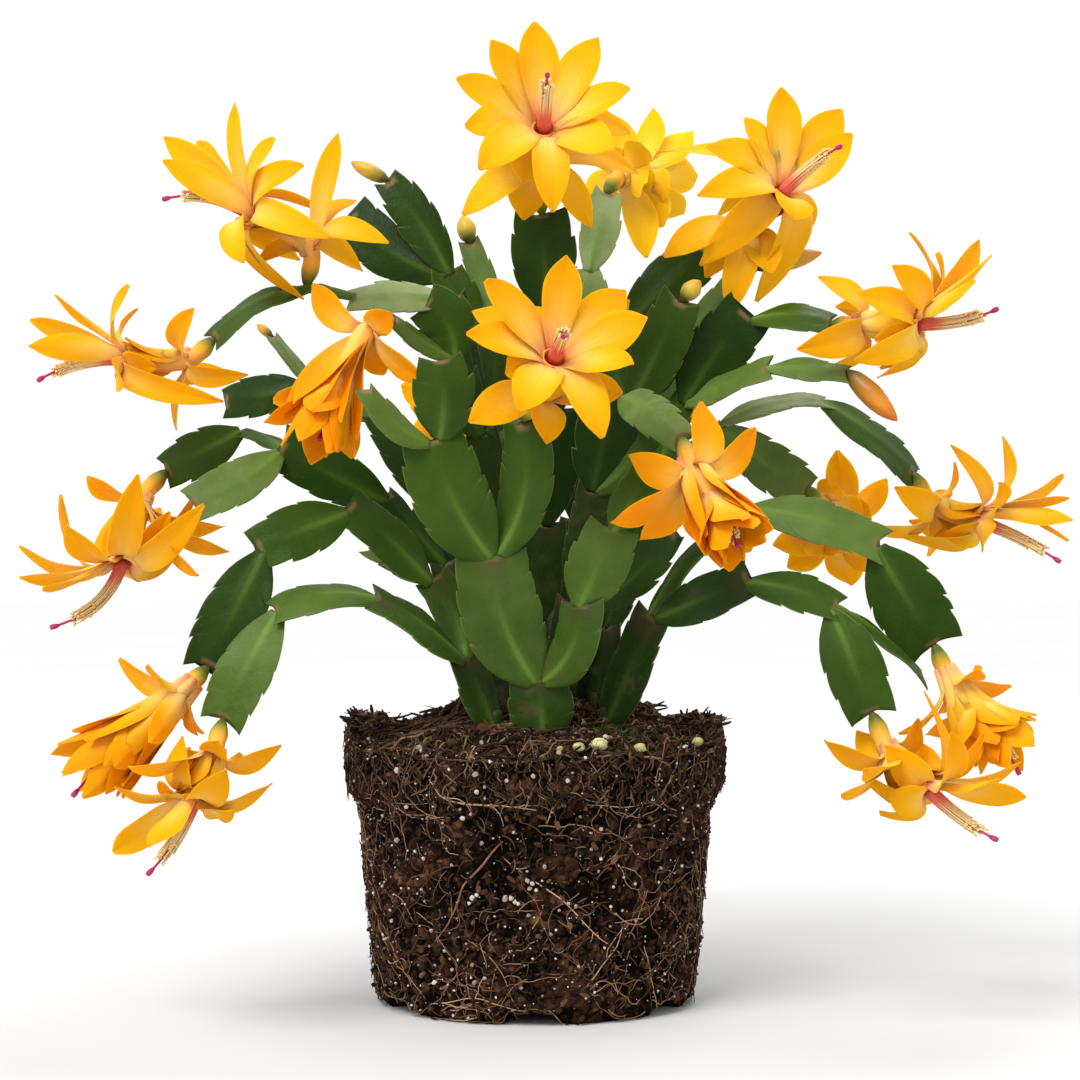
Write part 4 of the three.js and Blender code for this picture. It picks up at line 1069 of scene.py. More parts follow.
def soil_mass():
    rng = random.Random("soil")
    shape = Shape("rough", "top")
    around = 460
    rings = [[shape.vertex(Vector((0, 0, 0.4)), rough=0)]]
    for radius in (12, 24, 34, 40, 44, 47):
        ring = []
        for k in range(around):
            turn = 2 * math.pi * k / around
            point = polar(radius, turn)
            z = max(0, 0.7 * crumble(point, 9, 5))
            drain = DRAINS["depth"] * drain_depth(turn) * smoothstep(31, 33, radius)
            ring.append(shape.vertex(point + UP * (z + drain), rough=z))
        rings.append(ring)
    levels = 124
    for i in range(levels):
        ring = []
        for k in range(around):
            turn = 2 * math.pi * k / around
            lip = rim_height(turn)
            z = 0.4 + (lip - 0.4) * i / (levels - 1)
            low = smoothstep(3.5, 0.5, z)
            drain = drain_depth(turn) * smoothstep(6, 2.5, z)
            point = ball_point(turn, z)
            out = outward(point)
            rough = side_relief(point)
            push = rough - 1.6 * low - DRAINS["depth"] * drain
            grooved = -0.7 * math.exp(-(((z - 61) / 2.2) ** 2))
            height = z + 0.6 * crumble(point, 5, 8) * smoothstep(0.5, 3, z)
            if i == 0:
                height = 0.1
            height += DRAINS["depth"] * drain_depth(turn) * smoothstep(3.5, 0, z)
            place = point + out * (push + grooved)
            ring.append(shape.vertex(Vector((place.x, place.y, height)), rough=rough))
        rings.append(ring)
    steps = 46
    for i in range(1, steps + 1):
        ring = []
        for k in range(around):
            turn = 2 * math.pi * k / around
            edge = ball_radius(rim_height(turn)) - 0.6
            radius = edge * (1 - i / (steps + 1)) ** 0.9
            point = on_top(radius, turn)
            fine = crumbs_relief(point, 2.4, 4)
            ring.append(shape.vertex(point + UP * (0.9 * fine), rough=fine, top=1))
        rings.append(ring)
    rings.append([shape.vertex(UP * top_height(0, 0), top=1)])
    shape.skin(rings)
    piece = shape.build("soil_mass", SOIL)
    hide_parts("root_ball")


# 1 in the middle of a channel at the bottom edge, 0 between the channels.
def drain_depth(turn):
    return smoothstep(0.35, 0.65, math.cos(turn * DRAINS["count"]))


# A point on the side of the ball, a little proud, that lines up with (x, z) seen from the eye.
def on_ball_seen(x, z, proud):
    depth = -40.0
    for _ in range(12):
        place = at((x, z, depth))
        radius = ball_radius(place.z) + proud
        inside = radius ** 2 - place.x ** 2
        depth = -math.sqrt(inside) if inside > 1 else -1.0
    return at((x, z, depth))


def hug(point, proud):
    turn = math.atan2(point.x, -point.y)
    z = min(BALL_TOP - 1, max(0.8 + DRAINS["depth"] * drain_depth(turn), point.z))
    surface = ball_point(turn, z)
    out = outward(surface)
    return surface + out * (max(side_relief(surface), -0.1) + proud)


def wander(points, rng, size, proud):
    refined = []
    for a, b in zip(points, points[1:]):
        pieces = max(2, int((b - a).length / 2.2))
        for i in range(pieces):
            refined.append(a.lerp(b, i / pieces))
    refined.append(points[-1])
    smooth = refined
    for _ in range(5):
        smooth = [
            (smooth[max(0, i - 1)] + smooth[i] * 2 + smooth[min(len(smooth) - 1, i + 1)]) / 4
            for i in range(len(smooth))
        ]
    seed = rng.uniform(0, 90)
    buried = rng.uniform(0.2, 0.7)
    moved = []
    for i, point in enumerate(smooth):
        sway = Vector((
            noise.noise(Vector((i * 0.21, seed, 0))),
            noise.noise(Vector((i * 0.21, seed, 5))),
            noise.noise(Vector((i * 0.21, seed, 9))),
        ))
        dip = buried * max(0, noise.noise(Vector((i * 0.3, seed, 13))) * 2)
        moved.append(hug(point + sway * size, proud - dip))
    return moved


def root_net():
    rng = random.Random("roots")
    shape = Shape("along", "tone")

    def lay(points, radius, tone, size=1.6):
        path = wander(points, rng, size, radius * 0.3)
        count = len(path)
        radii = []
        for i in range(count):
            young = min(1, 0.3 + 0.16 * i)
            radii.append(radius * 0.85 * (1 - 0.6 * i / count) * young * rng.uniform(0.85, 1.15))
        shape.tube(path, radii, 7, tone=tone)
        # Side roots.
        for i in range(3, count - 3):
            if rng.random() < 0.09:
                branch(path[i], any_turn(rng), rng.uniform(5, 16), radius * 0.45, tone)

    def branch(start, heading, length, radius, tone):
        point = start.copy()
        path = [point]
        for _ in range(int(length / ROOT_STEP)):
            heading += rng.gauss(0, 0.34)
            around = Vector((-point.y, point.x, 0)).normalized()
            ahead = point + around * (ROOT_STEP * math.cos(heading)) + UP * (ROOT_STEP * math.sin(heading))
            point = hug(ahead, radius * 0.4)
            path.append(point)
        if len(path) > 3:
            radii = [radius * (1 - 0.6 * i / len(path)) for i in range(len(path))]
            shape.tube(path, radii, 5, tone=tone)

    for radius, tone, line in MAIN_ROOTS:
        lay([on_ball_seen(x, z, 0) for x, z in line], radius, tone)
    for course in SIDE_ROOTS:
        points = [ball_point(math.radians(degrees), z) for degrees, z in course]
        lay(points, 0.4, 0.5, 3)
    # The rest of the net, finer, and denser low down and under the lip.
    for _ in range(COUNTS["fine roots"]):
        turn = any_turn(rng)
        z = 60 * rng.random() ** 1.25 + 2
        heading = rng.choice((0, math.pi)) + rng.gauss(0, 0.9)
        radius = rng.choice((0.09, 0.12, 0.15, 0.2))
        branch(ball_point(turn, z), heading, rng.uniform(8, 40), radius, rng.uniform(0, 0.8))
    for _ in range(COUNTS["roots under the lip"]):
        turn = any_turn(rng)
        heading = rng.choice((0, math.pi)) + rng.gauss(0, 0.12)
        branch(ball_point(turn, rng.uniform(61, 64)), heading, rng.uniform(20, 60), 0.17, 0.6)
    for _ in range(COUNTS["roots on the lip"]):
        turn = any_turn(rng)
        heading = rng.gauss(0, 1.5)
        branch(ball_point(turn, rng.uniform(66, 84)), heading, rng.uniform(6, 26), 0.13, rng.uniform(0, 0.7))
    piece = shape.build("root_net", ROOT)


# Loose crumbs and chips of bark, on the side, along the rim and on the top.
def crumbs():
    rng = random.Random("crumbs")
    shape = Shape("tone")
    for i in range(COUNTS["crumbs"]):
        turn = any_turn(rng)
        size = 0.25 + 1.05 * rng.random() ** 3
        if i % 4:
            point = hug(ball_point(turn, rng.uniform(1.5, rim_height(turn) - 0.5)), -0.2 * size)
            out = outward(point)
        else:
            reach = 59.5 * math.sqrt(rng.uniform(0.03, 1))
            point = on_top(reach, turn, 0.2 * size)
            out = UP
        lean = scatter(rng)
        axis = perpendicular(lean, out) if rng.random() < 0.6 else lean.normalized()
        shape.lump(point, axis, size * rng.uniform(1, 1.9), size * 0.75, 6, 4, rng, tone=rng.random())
    piece = shape.build("crumbs", CRUMB, smooth=False)


# Short fibres of peat and bark: flat against the side, or standing off it, and on the top.
def fibres():
    rng = random.Random("fibres")
    shape = Shape("along", "tone")
    for i in range(COUNTS["peat fibres"]):
        turn = any_turn(rng)
        lies_on_top = i % 3 == 0
        if lies_on_top:
            radius = 60 * math.sqrt(rng.uniform(0.02, 1))
            point = on_top(radius, turn)
            out = UP
        else:
            point = hug(ball_point(turn, rng.uniform(1, rim_height(turn) - 1)), 0)
            out = outward(point)
        direction = perpendicular(scatter(rng), out)
        rise = rng.choice((0, 0.1, 0.25) if lies_on_top else (0, 0, 0.06, 0.16))
        length = rng.uniform(1.6, 6.5)
        curl = rng.gauss(0, 0.3)
        path = []
        for k in range(6):
            path.append(point + out * 0.12)
            path[-1].z = max(0.4, path[-1].z)
            direction = (direction + out.cross(direction) * curl).normalized()
            step = direction + out * rise
            point = point + step * (length / 5)
        radius = rng.uniform(0.1, 0.27)
        radii = [radius * part for part in (1, 1, 1, 0.9, 0.7, 0.4)]
        shape.tube(path, radii, 4, tone=rng.random())
    piece = shape.build("peat_fibres", FIBRE)


# Flakes of bark and dead leaf on top, and the dry strands at the left of the rim.
def litter():
    rng = random.Random("litter")
    shape = Shape("along", "tone")

    def strand(start, heading, rise, length, width, tone):
        direction = Vector((math.cos(heading), math.sin(heading), rise)).normalized()
        path, radii = [], []
        for k in range(8):
            path.append(start)
            radii.append(width * (0.5 + 0.5 * math.sin(math.pi * (k + 0.6) / 8)))
            direction = (direction + scatter(rng, 0.09, 0.09, 0.07)).normalized()
            start = start + direction * (length / 7)
            floor = top_at(start.x, start.y)
            if math.hypot(start.x, start.y) < 59 and start.z < floor + 0.3:
                start.z = floor + 0.3 + width
        shape.tube(path, radii, 5, tone=tone)

    # Flat flakes of bark at all angles.
    for _ in range(COUNTS["flakes"]):
        turn = any_turn(rng)
        radius = 58 * math.sqrt(rng.uniform(0.02, 1))
        size = rng.uniform(1, 2.4)
        place = on_top(radius, turn, 0.25 * size)
        axis = scatter(rng, z=1.4).normalized()
        shape.lump(place, axis, size * rng.uniform(0.12, 0.3), size, 7, 4, rng, tone=rng.random())
    for _ in range(COUNTS["strands"]):
        turn = any_turn(rng)
        radius = 58 * math.sqrt(rng.uniform(0.05, 1))
        start = on_top(radius, turn, 0.5)
        strand(start, any_turn(rng), rng.uniform(-0.1, 0.22), rng.uniform(5, 16),
               rng.uniform(0.25, 0.7), rng.uniform(0, 0.8))
    for _ in range(COUNTS["left strands"]):
        x, y = rng.uniform(-50, -14), rng.uniform(-34, -4)
        start = Vector((x, y, top_at(x, y) + 1))
        strand(start, rng.gauss(0.2, 0.5), rng.uniform(0, 0.16), rng.uniform(12, 26),
               rng.uniform(0.3, 0.75), rng.uniform(0.5, 1))
    # Ragged bits that stand up along the rim.
    for _ in range(COUNTS["rim strands"]):
        turn = any_turn(rng)
        radius = ball_radius(84) - rng.uniform(0.4, 3)
        start = polar(radius, turn, rim_height(turn) - 0.8)
        strand(start, any_turn(rng), rng.uniform(0.3, 1.6), rng.uniform(2, 4.6),
               rng.uniform(0.25, 0.6), rng.uniform(0, 0.7))
    piece = shape.build("litter", FIBRE)


# The tangle of fine curled strands on top, and the upright ones round the lip.
def tangle():
    rng = random.Random("tangle")
    shape = Shape("along", "tone")

    def thread(path, radius, tone):
        count = len(path)
        radii = [radius * (0.4 + 0.9 * math.sin(math.pi * (i + 0.6) / count)) for i in range(count)]
        shape.tube(path, radii, 4, tone=tone)

    for _ in range(COUNTS["top threads"]):
        turn = any_turn(rng)
        reach = 60 * math.sqrt(rng.uniform(0.01, 1))
        x, y = reach * math.sin(turn), -reach * math.cos(turn)
        heading, curl = any_turn(rng), rng.gauss(0, 0.45)
        step = rng.uniform(0.5, 1.5)
        arch = rng.uniform(0, 1.4) * rng.random()
        path = []
        for k in range(8):
            level = top_at(x, y)
            path.append(Vector((x, y, level + 0.2 + arch * math.sin(math.pi * k / 7) + 0.3 * rng.random())))
            heading += curl + rng.gauss(0, 0.2)
            x, y = x + step * math.cos(heading), y + step * math.sin(heading)
            away = math.hypot(x, y) / 60.5
            if away > 1:
                x, y = x / away, y / away
        thread(path, rng.uniform(0.13, 0.36), rng.random())
    for _ in range(COUNTS["lip threads"]):
        turn = any_turn(rng)
        z = rng.uniform(65, 84)
        drift, step = rng.gauss(0, 0.012), rng.uniform(0.5, 1.3)
        path = []
        for k in range(6):
            path.append(hug(ball_point(turn, z), rng.uniform(0.05, 0.5)))
            path[-1].z = min(z, rim_height(turn) + 0.6)
            turn += drift + rng.gauss(0, 0.008)
            z += step
        thread(path, rng.uniform(0.1, 0.27), 0.1 + 0.85 * rng.random() ** 1.3)
    piece = shape.build("tangle", PEAT)


# White perlite, pressed into the side and lying on top.
def perlite():
    rng = random.Random("perlite")
    shape = Shape("tone")

    def chip(point, out, radius, tone):
        axis = (out * 0.4 + scatter(rng)).normalized()
        shape.lump(point, axis, radius * rng.uniform(0.8, 1.3), radius * 0.9, 6, 4, rng, tone=tone)

    for x, z, radius in MAIN_CHIPS:
        point = hug(on_ball_seen(x, z, 0), radius * 0.35)
        chip(point, outward(point), 0.8 * radius, rng.uniform(0.1, 0.75))
    for _ in range(COUNTS["chips"]):
        turn = any_turn(rng)
        radius = 0.14 + 0.46 * rng.random() ** 3
        point = hug(ball_point(turn, rng.uniform(2, 84)), radius * 0.3)
        chip(point, outward(point), radius, rng.uniform(0.2, 1))
    for _ in range(COUNTS["top chips"]):
        turn = any_turn(rng)
        reach = 57 * math.sqrt(rng.uniform(0.05, 1))
        radius = 0.4 + 0.9 * rng.random() ** 2
        point = on_top(reach, turn, 0.3 * radius)
        chip(point, UP, radius, rng.uniform(0.1, 0.9))
    piece = shape.build("perlite", PERLITE, smooth=False)


# Slow-release granules and a pad of moss on the right of the top.
def moss_and_granules():
    rng = random.Random("moss")
    granules = Shape("tone")
    for x, z, depth, radius in GRANULES:
        middle = at((x, z + 0.7, depth))
        granules.lump(middle, UP, radius * 0.85, radius * 1.05, 14, 8, rng, tone=rng.random())
    piece = granules.build("granules", GRANULE)
    moss = Shape("along", "tone")
    for _ in range(COUNTS["moss"]):
        spot = MOSS[0] if rng.random() < 0.75 else MOSS[1]
        turn, reach = rng.uniform(0, 2 * math.pi), spot["radius"] * math.sqrt(rng.random())
        x, y = spot["at"][0] + reach * math.cos(turn), spot["at"][1] + reach * 0.8 * math.sin(turn)
        start = Vector((x, y, top_at(x, y) - 0.3))
        lean = Vector((rng.gauss(0, 0.5), rng.gauss(0, 0.5), 1)).normalized()
        bent = Vector((rng.gauss(0, 0.2), rng.gauss(0, 0.2), 0))
        path = [start, start + lean * 0.9, start + lean * 1.7 + bent]
        moss.tube(path, [0.3, 0.26, 0.08], 4, tone=rng.random())
    piece = moss.build("moss", MOSS_LOOK)
    # Olive threads here and there along the rim.
    threads = Shape("along", "tone")
    for _ in range(COUNTS["rim moss"]):
        turn = any_turn(rng)
        if noise.noise(Vector((math.sin(turn) * 2.4, math.cos(turn) * 2.4, 1.3))) < 0.02:
            continue
        reach = rng.uniform(47, 59.5)
        start = on_top(reach, turn, -0.2)
        lean = Vector((rng.gauss(0, 1), rng.gauss(0, 1), 0.5)).normalized()
        bent = start + lean * 1.2
        path = [start, bent, bent + lean * 0.8 + UP * rng.uniform(-0.4, 0.6)]
        threads.tube(path, [0.22, 0.2, 0.08], 4, tone=rng.random())
    piece = threads.build("rim_moss", RIM_MOSS)


# ---- materials ----


# A material's node tree, with its Principled shader, built in a few words.
class Look:
    def __init__(self, name, roughness, specular):
        self.material = bpy.data.materials.new(name)
        self.material.use_nodes = True
        self.tree = self.material.node_tree
        self.shader = self.tree.nodes["Principled BSDF"]
        self.shader.inputs["Roughness"].default_value = roughness
        self.shader.inputs["Specular IOR Level"].default_value = specular
        self.place = self.node("ShaderNodeTexCoord").outputs["Object"]

    def node(self, kind, inputs=None, **settings):
        made = self.tree.nodes.new(kind)
        for name, value in settings.items():
            setattr(made, name, value)
        for name, value in (inputs or {}).items():
            if isinstance(value, bpy.types.NodeSocket):
                self.tree.links.new(value, made.inputs[name])
            else:
                made.inputs[name].default_value = value
        return made

    def value(self, name):
        return self.node("ShaderNodeAttribute", attribute_name=name).outputs["Fac"]

    def noise(self, scale, detail=4, roughness=0.6):
        inputs = {"Vector": self.place, "Scale": scale, "Detail": detail, "Roughness": roughness}
        return self.node("ShaderNodeTexNoise", inputs).outputs["Fac"]

    def math(self, operation, a, b=0.0):
        return self.node("ShaderNodeMath", {0: a, 1: b}, operation=operation).outputs[0]

    def times(self, a, b):
        return self.math("MULTIPLY", a, b)

    def plus(self, a, b):
        return self.math("ADD", a, b)

    # 0 below `low`, 1 above `high`.
    def step(self, value, low, high):
        inputs = {"Value": value, "From Min": low, "From Max": high}
        return self.node("ShaderNodeMapRange", inputs, interpolation_type="SMOOTHSTEP").outputs["Result"]

    def ramp(self, value, stops):
        made = self.node("ShaderNodeValToRGB", {"Fac": value})
        elements = made.color_ramp.elements
        while len(elements) < len(stops):
            elements.new(0.5)
        for element, (position, colour) in zip(elements, stops):
            element.position = position
            element.color = (*colour, 1)
        return made.outputs["Color"]

    def mix(self, factor, a, b):
        made = self.node("ShaderNodeMix", data_type="RGBA")
        for socket, value in ((made.inputs[0], factor), (made.inputs[6], a), (made.inputs[7], b)):
            if isinstance(value, bpy.types.NodeSocket):
                self.tree.links.new(value, socket)
            else:
                socket.default_value = (*value, 1) if isinstance(value, tuple) else value
        return made.outputs[2]

    # `base` with `amount` of a colour over it where `mask` is 1.
    def tint(self, base, colour, mask, amount):
        return self.mix(self.times(mask, amount), base, colour)

    def colour(self, socket):
        self.tree.links.new(socket, self.shader.inputs["Base Color"])

    def roughness(self, socket):
        self.tree.links.new(socket, self.shader.inputs["Roughness"])

    def bump(self, height, strength, distance):
        inputs = {"Height": height, "Strength": strength, "Distance": distance}
        made = self.node("ShaderNodeBump", inputs)
        self.tree.links.new(made.outputs["Normal"], self.shader.inputs["Normal"])


def leaf_look():
    look = Look("leaf", 0.42, 0.13)
    along, side, inset, tooth = (look.value(name) for name in ("along", "side", "inset", "tooth"))
    tone, age, shaded = look.value("tone"), look.value("age"), look.value("shaded")
    mottle = look.noise(45, 4)
    shade = look.plus(look.times(tone, 0.72), look.times(mottle, 0.42))
    # The top of the ramp, a pale grey-green, is painted sheen for the palest segments.
    green = look.ramp(shade, [
        (0.2, (0.008, 0.028, 0.0003)), (0.4, (0.022, 0.056, 0.001)), (0.6, (0.042, 0.086, 0.006)),
        (0.8, (0.1, 0.155, 0.03)), (0.97, (0.23, 0.3, 0.12))])
    # Painted shade darkens the segments inside the plant, where little light reaches, and old segments are
    # darker too.
    green = look.tint(green, (0.005, 0.018, 0.0005), shaded, 0.72)
    green = look.tint(green, (0.01, 0.024, 0.002), age, 0.5)
    # The midrib is a lighter band, widest and brightest at the foot of a segment.
    core = look.step(inset, 1.3, 0.3)
    glow = look.step(inset, 3.6, 0.3)
    foot = look.step(along, 0.85, 0.05)
    rib = look.plus(look.times(core, 0.5), look.times(glow, 0.28))
    rib = look.times(rib, foot)
    # The midrib band fades under the painted shade.
    rib = look.times(rib, look.step(shaded, 1.1, 0.0))
    rib = look.times(rib, look.step(tone, -0.5, 0.7))
    green = look.mix(rib, green, (0.12, 0.215, 0.028))
    # Thin side veins leave the midrib at a slant.
    slant = look.math("SUBTRACT", look.times(along, 7), look.times(side, 2))
    waver = look.times(look.noise(90, 2), 1.5)
    vein = look.math("SINE", look.times(look.plus(slant, waver), 6.28))
    green = look.tint(green, (0.08, 0.17, 0.02), look.step(vein, 0.86, 1), 0.03)
    # Painted highlight: a pale line along the edges, where they catch the light. Teeth, horns and joints are
    # corky.
    edge = look.times(look.step(side, 0.965, 1.0), 0.55)
    green = look.mix(edge, green, (0.17, 0.24, 0.05))
    cork = look.times(tooth, look.step(look.noise(420, 3), 0.42, 0.6))
    green = look.tint(green, (0.26, 0.16, 0.07), cork, 0.6)
    middle = look.step(inset, 3.4, 1.2)
    end = look.times(look.step(along, 0.92, 0.955), middle)
    green = look.tint(green, (0.17, 0.11, 0.045), end, 0.8)
    scar = look.times(look.times(look.step(along, 0.7, 0.95), look.step(inset, 7, 2)), age)
    green = look.tint(green, (0.055, 0.034, 0.018), scar, 0.7)
    old = look.times(age, look.step(look.noise(120, 4), 0.52, 0.66))
    green = look.tint(green, (0.09, 0.07, 0.03), old, 0.4)
    # Pale flecks.
    fleck = look.step(look.noise(1500, 2), 0.7, 0.78)
    green = look.tint(green, (0.2, 0.3, 0.12), fleck, 0.2)
    look.colour(green)
    look.roughness(look.ramp(look.noise(160, 3), [(0.3, (0.36, 0.36, 0.36)), (0.75, (0.52, 0.52, 0.52))]))
    relief = look.plus(look.noise(900, 3), look.times(look.noise(150, 2), 2))
    look.bump(relief, 0.3, 0.0005)
    return look.material


def tepal_look():
    look = Look("tepal", 0.6, 0.04)
    along, side, tone = look.value("along"), look.value("side"), look.value("tone")
    cloudy = look.times(look.noise(60, 3), 0.24)
    place = look.plus(look.times(along, 0.9), cloudy)
    gold = look.ramp(place, [
        (0.14, (0.84, 0.24, 0.16)), (0.25, (0.83, 0.44, 0.22)), (0.36, (0.84, 0.53, 0.15)),
        (0.5, (0.82, 0.46, 0.04)),
        (0.7, (0.8, 0.38, 0.005)), (0.88, (0.79, 0.33, 0.002)), (1.1, (0.74, 0.26, 0.002))])
    # Paler down the middle, deeper towards the edges.
    middle = look.times(look.step(side, 0.75, 0.1), look.step(along, 0.85, 0.3))
    gold = look.tint(gold, (0.84, 0.56, 0.11), middle, 0.6)
    margin = look.times(look.step(side, 0.5, 1.0), 0.55)
    gold = look.mix(margin, gold, (0.8, 0.3, 0.002))
    # Fine veins run lengthways.
    waver = look.times(look.noise(110, 2), 5)
    vein = look.math("SINE", look.plus(look.times(side, 58), waver))
    vein = look.times(vein, look.step(along, 0.95, 0.6))
    gold = look.tint(gold, (0.78, 0.25, 0.004), look.step(vein, 0.1, 1), 0.09)
    crease = look.times(look.step(side, 0.09, 0.0), look.step(along, 0.95, 0.3))
    gold = look.tint(gold, (0.78, 0.26, 0.008), crease, 0.22)
    # Some blooms are lemon, others orange towards the tips.
    lemon = look.times(look.step(tone, 0.4, 0.0), 0.5)
    gold = look.mix(lemon, gold, (0.88, 0.55, 0.015))
    deep = look.times(look.step(tone, 0.4, 1), look.step(along, 0.2, 0.9))
    gold = look.tint(gold, (0.86, 0.23, 0.002), deep, 0.85)
    look.colour(gold)
    relief = look.plus(look.times(vein, 0.4), look.noise(700, 2))
    look.bump(relief, 0.12, 0.0003)
    through_petal(look, 0.5)
    return look.material


# Light passes through thin parts.
def through_petal(look, weight):
    look.shader.inputs["Subsurface Weight"].default_value = weight
    look.shader.inputs["Subsurface Radius"].default_value = (1, 0.85, 0.5)
    look.shader.inputs["Subsurface Scale"].default_value = 0.0012


def tube_look():
    look = Look("flower tube", 0.5, 0.15)
    along, inner = look.value("along"), look.value("inner")
    cloudy = look.times(look.noise(90, 3), 0.12)
    place = look.plus(along, cloudy)
    skin = look.ramp(place, [
        (0.1, (0.09, 0.12, 0.015)), (0.22, (0.34, 0.27, 0.025)), (0.36, (0.82, 0.42, 0.04)),
        (0.6, (0.84, 0.48, 0.12)), (0.85, (0.84, 0.44, 0.08)), (1.0, (0.84, 0.42, 0.05))])
    skin = look.mix(look.step(inner, 0.0, 0.5), skin, (0.72, 0.13, 0.06))
    look.colour(skin)
    look.bump(look.noise(500, 3), 0.15, 0.0003)
    through_petal(look, 0.4)
    return look.material


def bud_look():
    look = Look("bud", 0.45, 0.45)
    along, seam, ripe = look.value("along"), look.value("side"), look.value("tone")
    place = look.plus(along, look.times(look.noise(120, 3), 0.16))
    fresh = look.ramp(place, [
        (0.12, (0.07, 0.075, 0.01)), (0.3, (0.26, 0.23, 0.018)), (0.55, (0.56, 0.4, 0.025)),
        (0.85, (0.6, 0.38, 0.02)), (1.0, (0.54, 0.3, 0.012))])
    deep = look.ramp(place, [
        (0.12, (0.08, 0.06, 0.008)), (0.3, (0.24, 0.12, 0.007)), (0.5, (0.42, 0.16, 0.004)),
        (0.8, (0.6, 0.21, 0.003)), (1.0, (0.52, 0.14, 0.003))])
    skin = look.mix(ripe, fresh, deep)
    skin = look.tint(skin, (0.4, 0.14, 0.01), look.step(seam, 0.86, 1.0), 0.5)
    look.colour(skin)
    look.bump(look.noise(600, 3), 0.15, 0.0003)
    through_petal(look, 0.1)
    return look.material


def style_look():
    look = Look("style", 0.38, 0.5)
    along = look.value("along")
    place = look.plus(along, look.times(look.noise(300, 2), 0.1))
    look.colour(look.ramp(place, [
        (0.1, (0.66, 0.1, 0.07)), (0.5, (0.6, 0.06, 0.13)), (0.95, (0.4, 0.012, 0.12))]))
    look.bump(look.noise(1500, 2), 0.1, 0.0002)
    return look.material


def stamen_look():
    look = Look("stamen", 0.6, 0.3)
    along, tone = look.value("along"), look.value("tone")
    place = look.plus(along, look.times(look.noise(400, 2), 0.1))
    stalk = look.ramp(place, [
        (0.34, (0.78, 0.15, 0.1)), (0.48, (0.84, 0.36, 0.2)), (0.64, (0.87, 0.62, 0.3)),
        (1.0, (0.87, 0.66, 0.32))])
    pale = look.times(tone, look.step(along, 0.2, 0.6))
    look.colour(look.mix(pale, stalk, (0.86, 0.64, 0.28)))
    look.bump(look.noise(2500, 2), 0.2, 0.0002)
    through_petal(look, 0.3)
    return look.material


def soil_look():
    look = Look("soil", 0.95, 0.06)
    rough, top = look.value("rough"), look.value("top")
    warp = look.node("ShaderNodeTexNoise", {"Vector": look.place, "Scale": 300, "Detail": 3}).outputs["Color"]
    shift = look.node("ShaderNodeVectorMath", {0: warp, 1: (0.0035, 0.0035, 0.0035)}, operation="MULTIPLY")
    place = look.node("ShaderNodeVectorMath", {0: look.place, 1: shift.outputs[0]}, operation="ADD")
    cells = look.node("ShaderNodeTexVoronoi", {"Vector": place.outputs[0], "Scale": 420})
    crumb = look.node("ShaderNodeSeparateColor", {"Color": cells.outputs["Color"]}).outputs["Red"]
    grain = look.noise(520, 8, 0.8)
    patch = look.noise(45, 4, 0.6)
    shade = look.plus(look.times(crumb, 0.34), look.times(grain, 0.5))
    shade = look.plus(shade, look.times(patch, 0.34))
    # Painted shade and light from the relief: hollows darker, proud crumbs lighter.
    shade = look.plus(shade, look.times(rough, 0.16))
    earth = look.ramp(shade, [
        (0.4, (0.0045, 0.0022, 0.0013)), (0.52, (0.017, 0.008, 0.0045)), (0.64, (0.044, 0.02, 0.0105)),
        (0.76, (0.11, 0.049, 0.024)), (0.9, (0.22, 0.12, 0.065))])
    mossy = look.times(top, look.step(look.noise(70, 3), 0.45, 0.62))
    earth = look.tint(earth, (0.016, 0.017, 0.003), mossy, 0.6)
    # Bark pieces show as plain reddish patches.
    bark = look.step(look.noise(58, 1), 0.62, 0.65)
    earth = look.tint(earth, (0.085, 0.036, 0.016), bark, 0.55)
    # Painted shade: cracks between crumbs are darkened to near black.
    crack_shade = look.step(rough, -0.2, -0.85)
    earth = look.tint(earth, (0.003, 0.002, 0.0015), crack_shade, 0.85)
    chips = look.step(look.noise(2300, 1), 0.74, 0.78)
    earth = look.tint(earth, (0.3, 0.22, 0.14), chips, 0.6)
    look.colour(earth)
    relief = look.plus(look.times(grain, 1.2), look.times(cells.outputs["Distance"], -0.9))
    look.bump(relief, 1.0, 0.002)
    return look.material


# Roots, fibres and litter: a tone picks a colour between two, with finer change along it.
def strand_look(name, stops, bump, roughness=0.75):
    look = Look(name, roughness, 0.12)
    tone = look.value("tone")
    place = look.plus(look.times(tone, 0.75), look.times(look.noise(350, 4), 0.4))
    look.colour(look.ramp(place, stops))
    look.bump(look.noise(1300, 3), bump, 0.0004)
    return look.material


LEAF = leaf_look()
TEPAL = tepal_look()
TUBE_LOOK = tube_look()
BUD_LOOK = bud_look()
STYLE = style_look()
STAMEN = stamen_look()
SOIL = soil_look()
PEAT = strand_look("peat", [
    (0.2, (0.008, 0.005, 0.003)), (0.5, (0.035, 0.019, 0.009)), (0.75, (0.1, 0.052, 0.026)),
    (1.0, (0.27, 0.165, 0.09))], 0.5, 0.9)
ROOT = strand_look("root", [
    (0.15, (0.06, 0.026, 0.012)), (0.55, (0.22, 0.11, 0.055)), (0.95, (0.56, 0.38, 0.23))], 0.4)
CRUMB = strand_look("crumb", [
    (0.15, (0.008, 0.004, 0.002)), (0.5, (0.03, 0.014, 0.007)), (0.8, (0.08, 0.036, 0.017)),
    (1.0, (0.17, 0.085, 0.045))], 0.8, 0.95)
FIBRE = strand_look("fibre", [
    (0.15, (0.008, 0.005, 0.003)), (0.5, (0.035, 0.016, 0.008)), (0.8, (0.085, 0.042, 0.02)),
    (1.0, (0.24, 0.175, 0.11))], 0.5, 0.9)
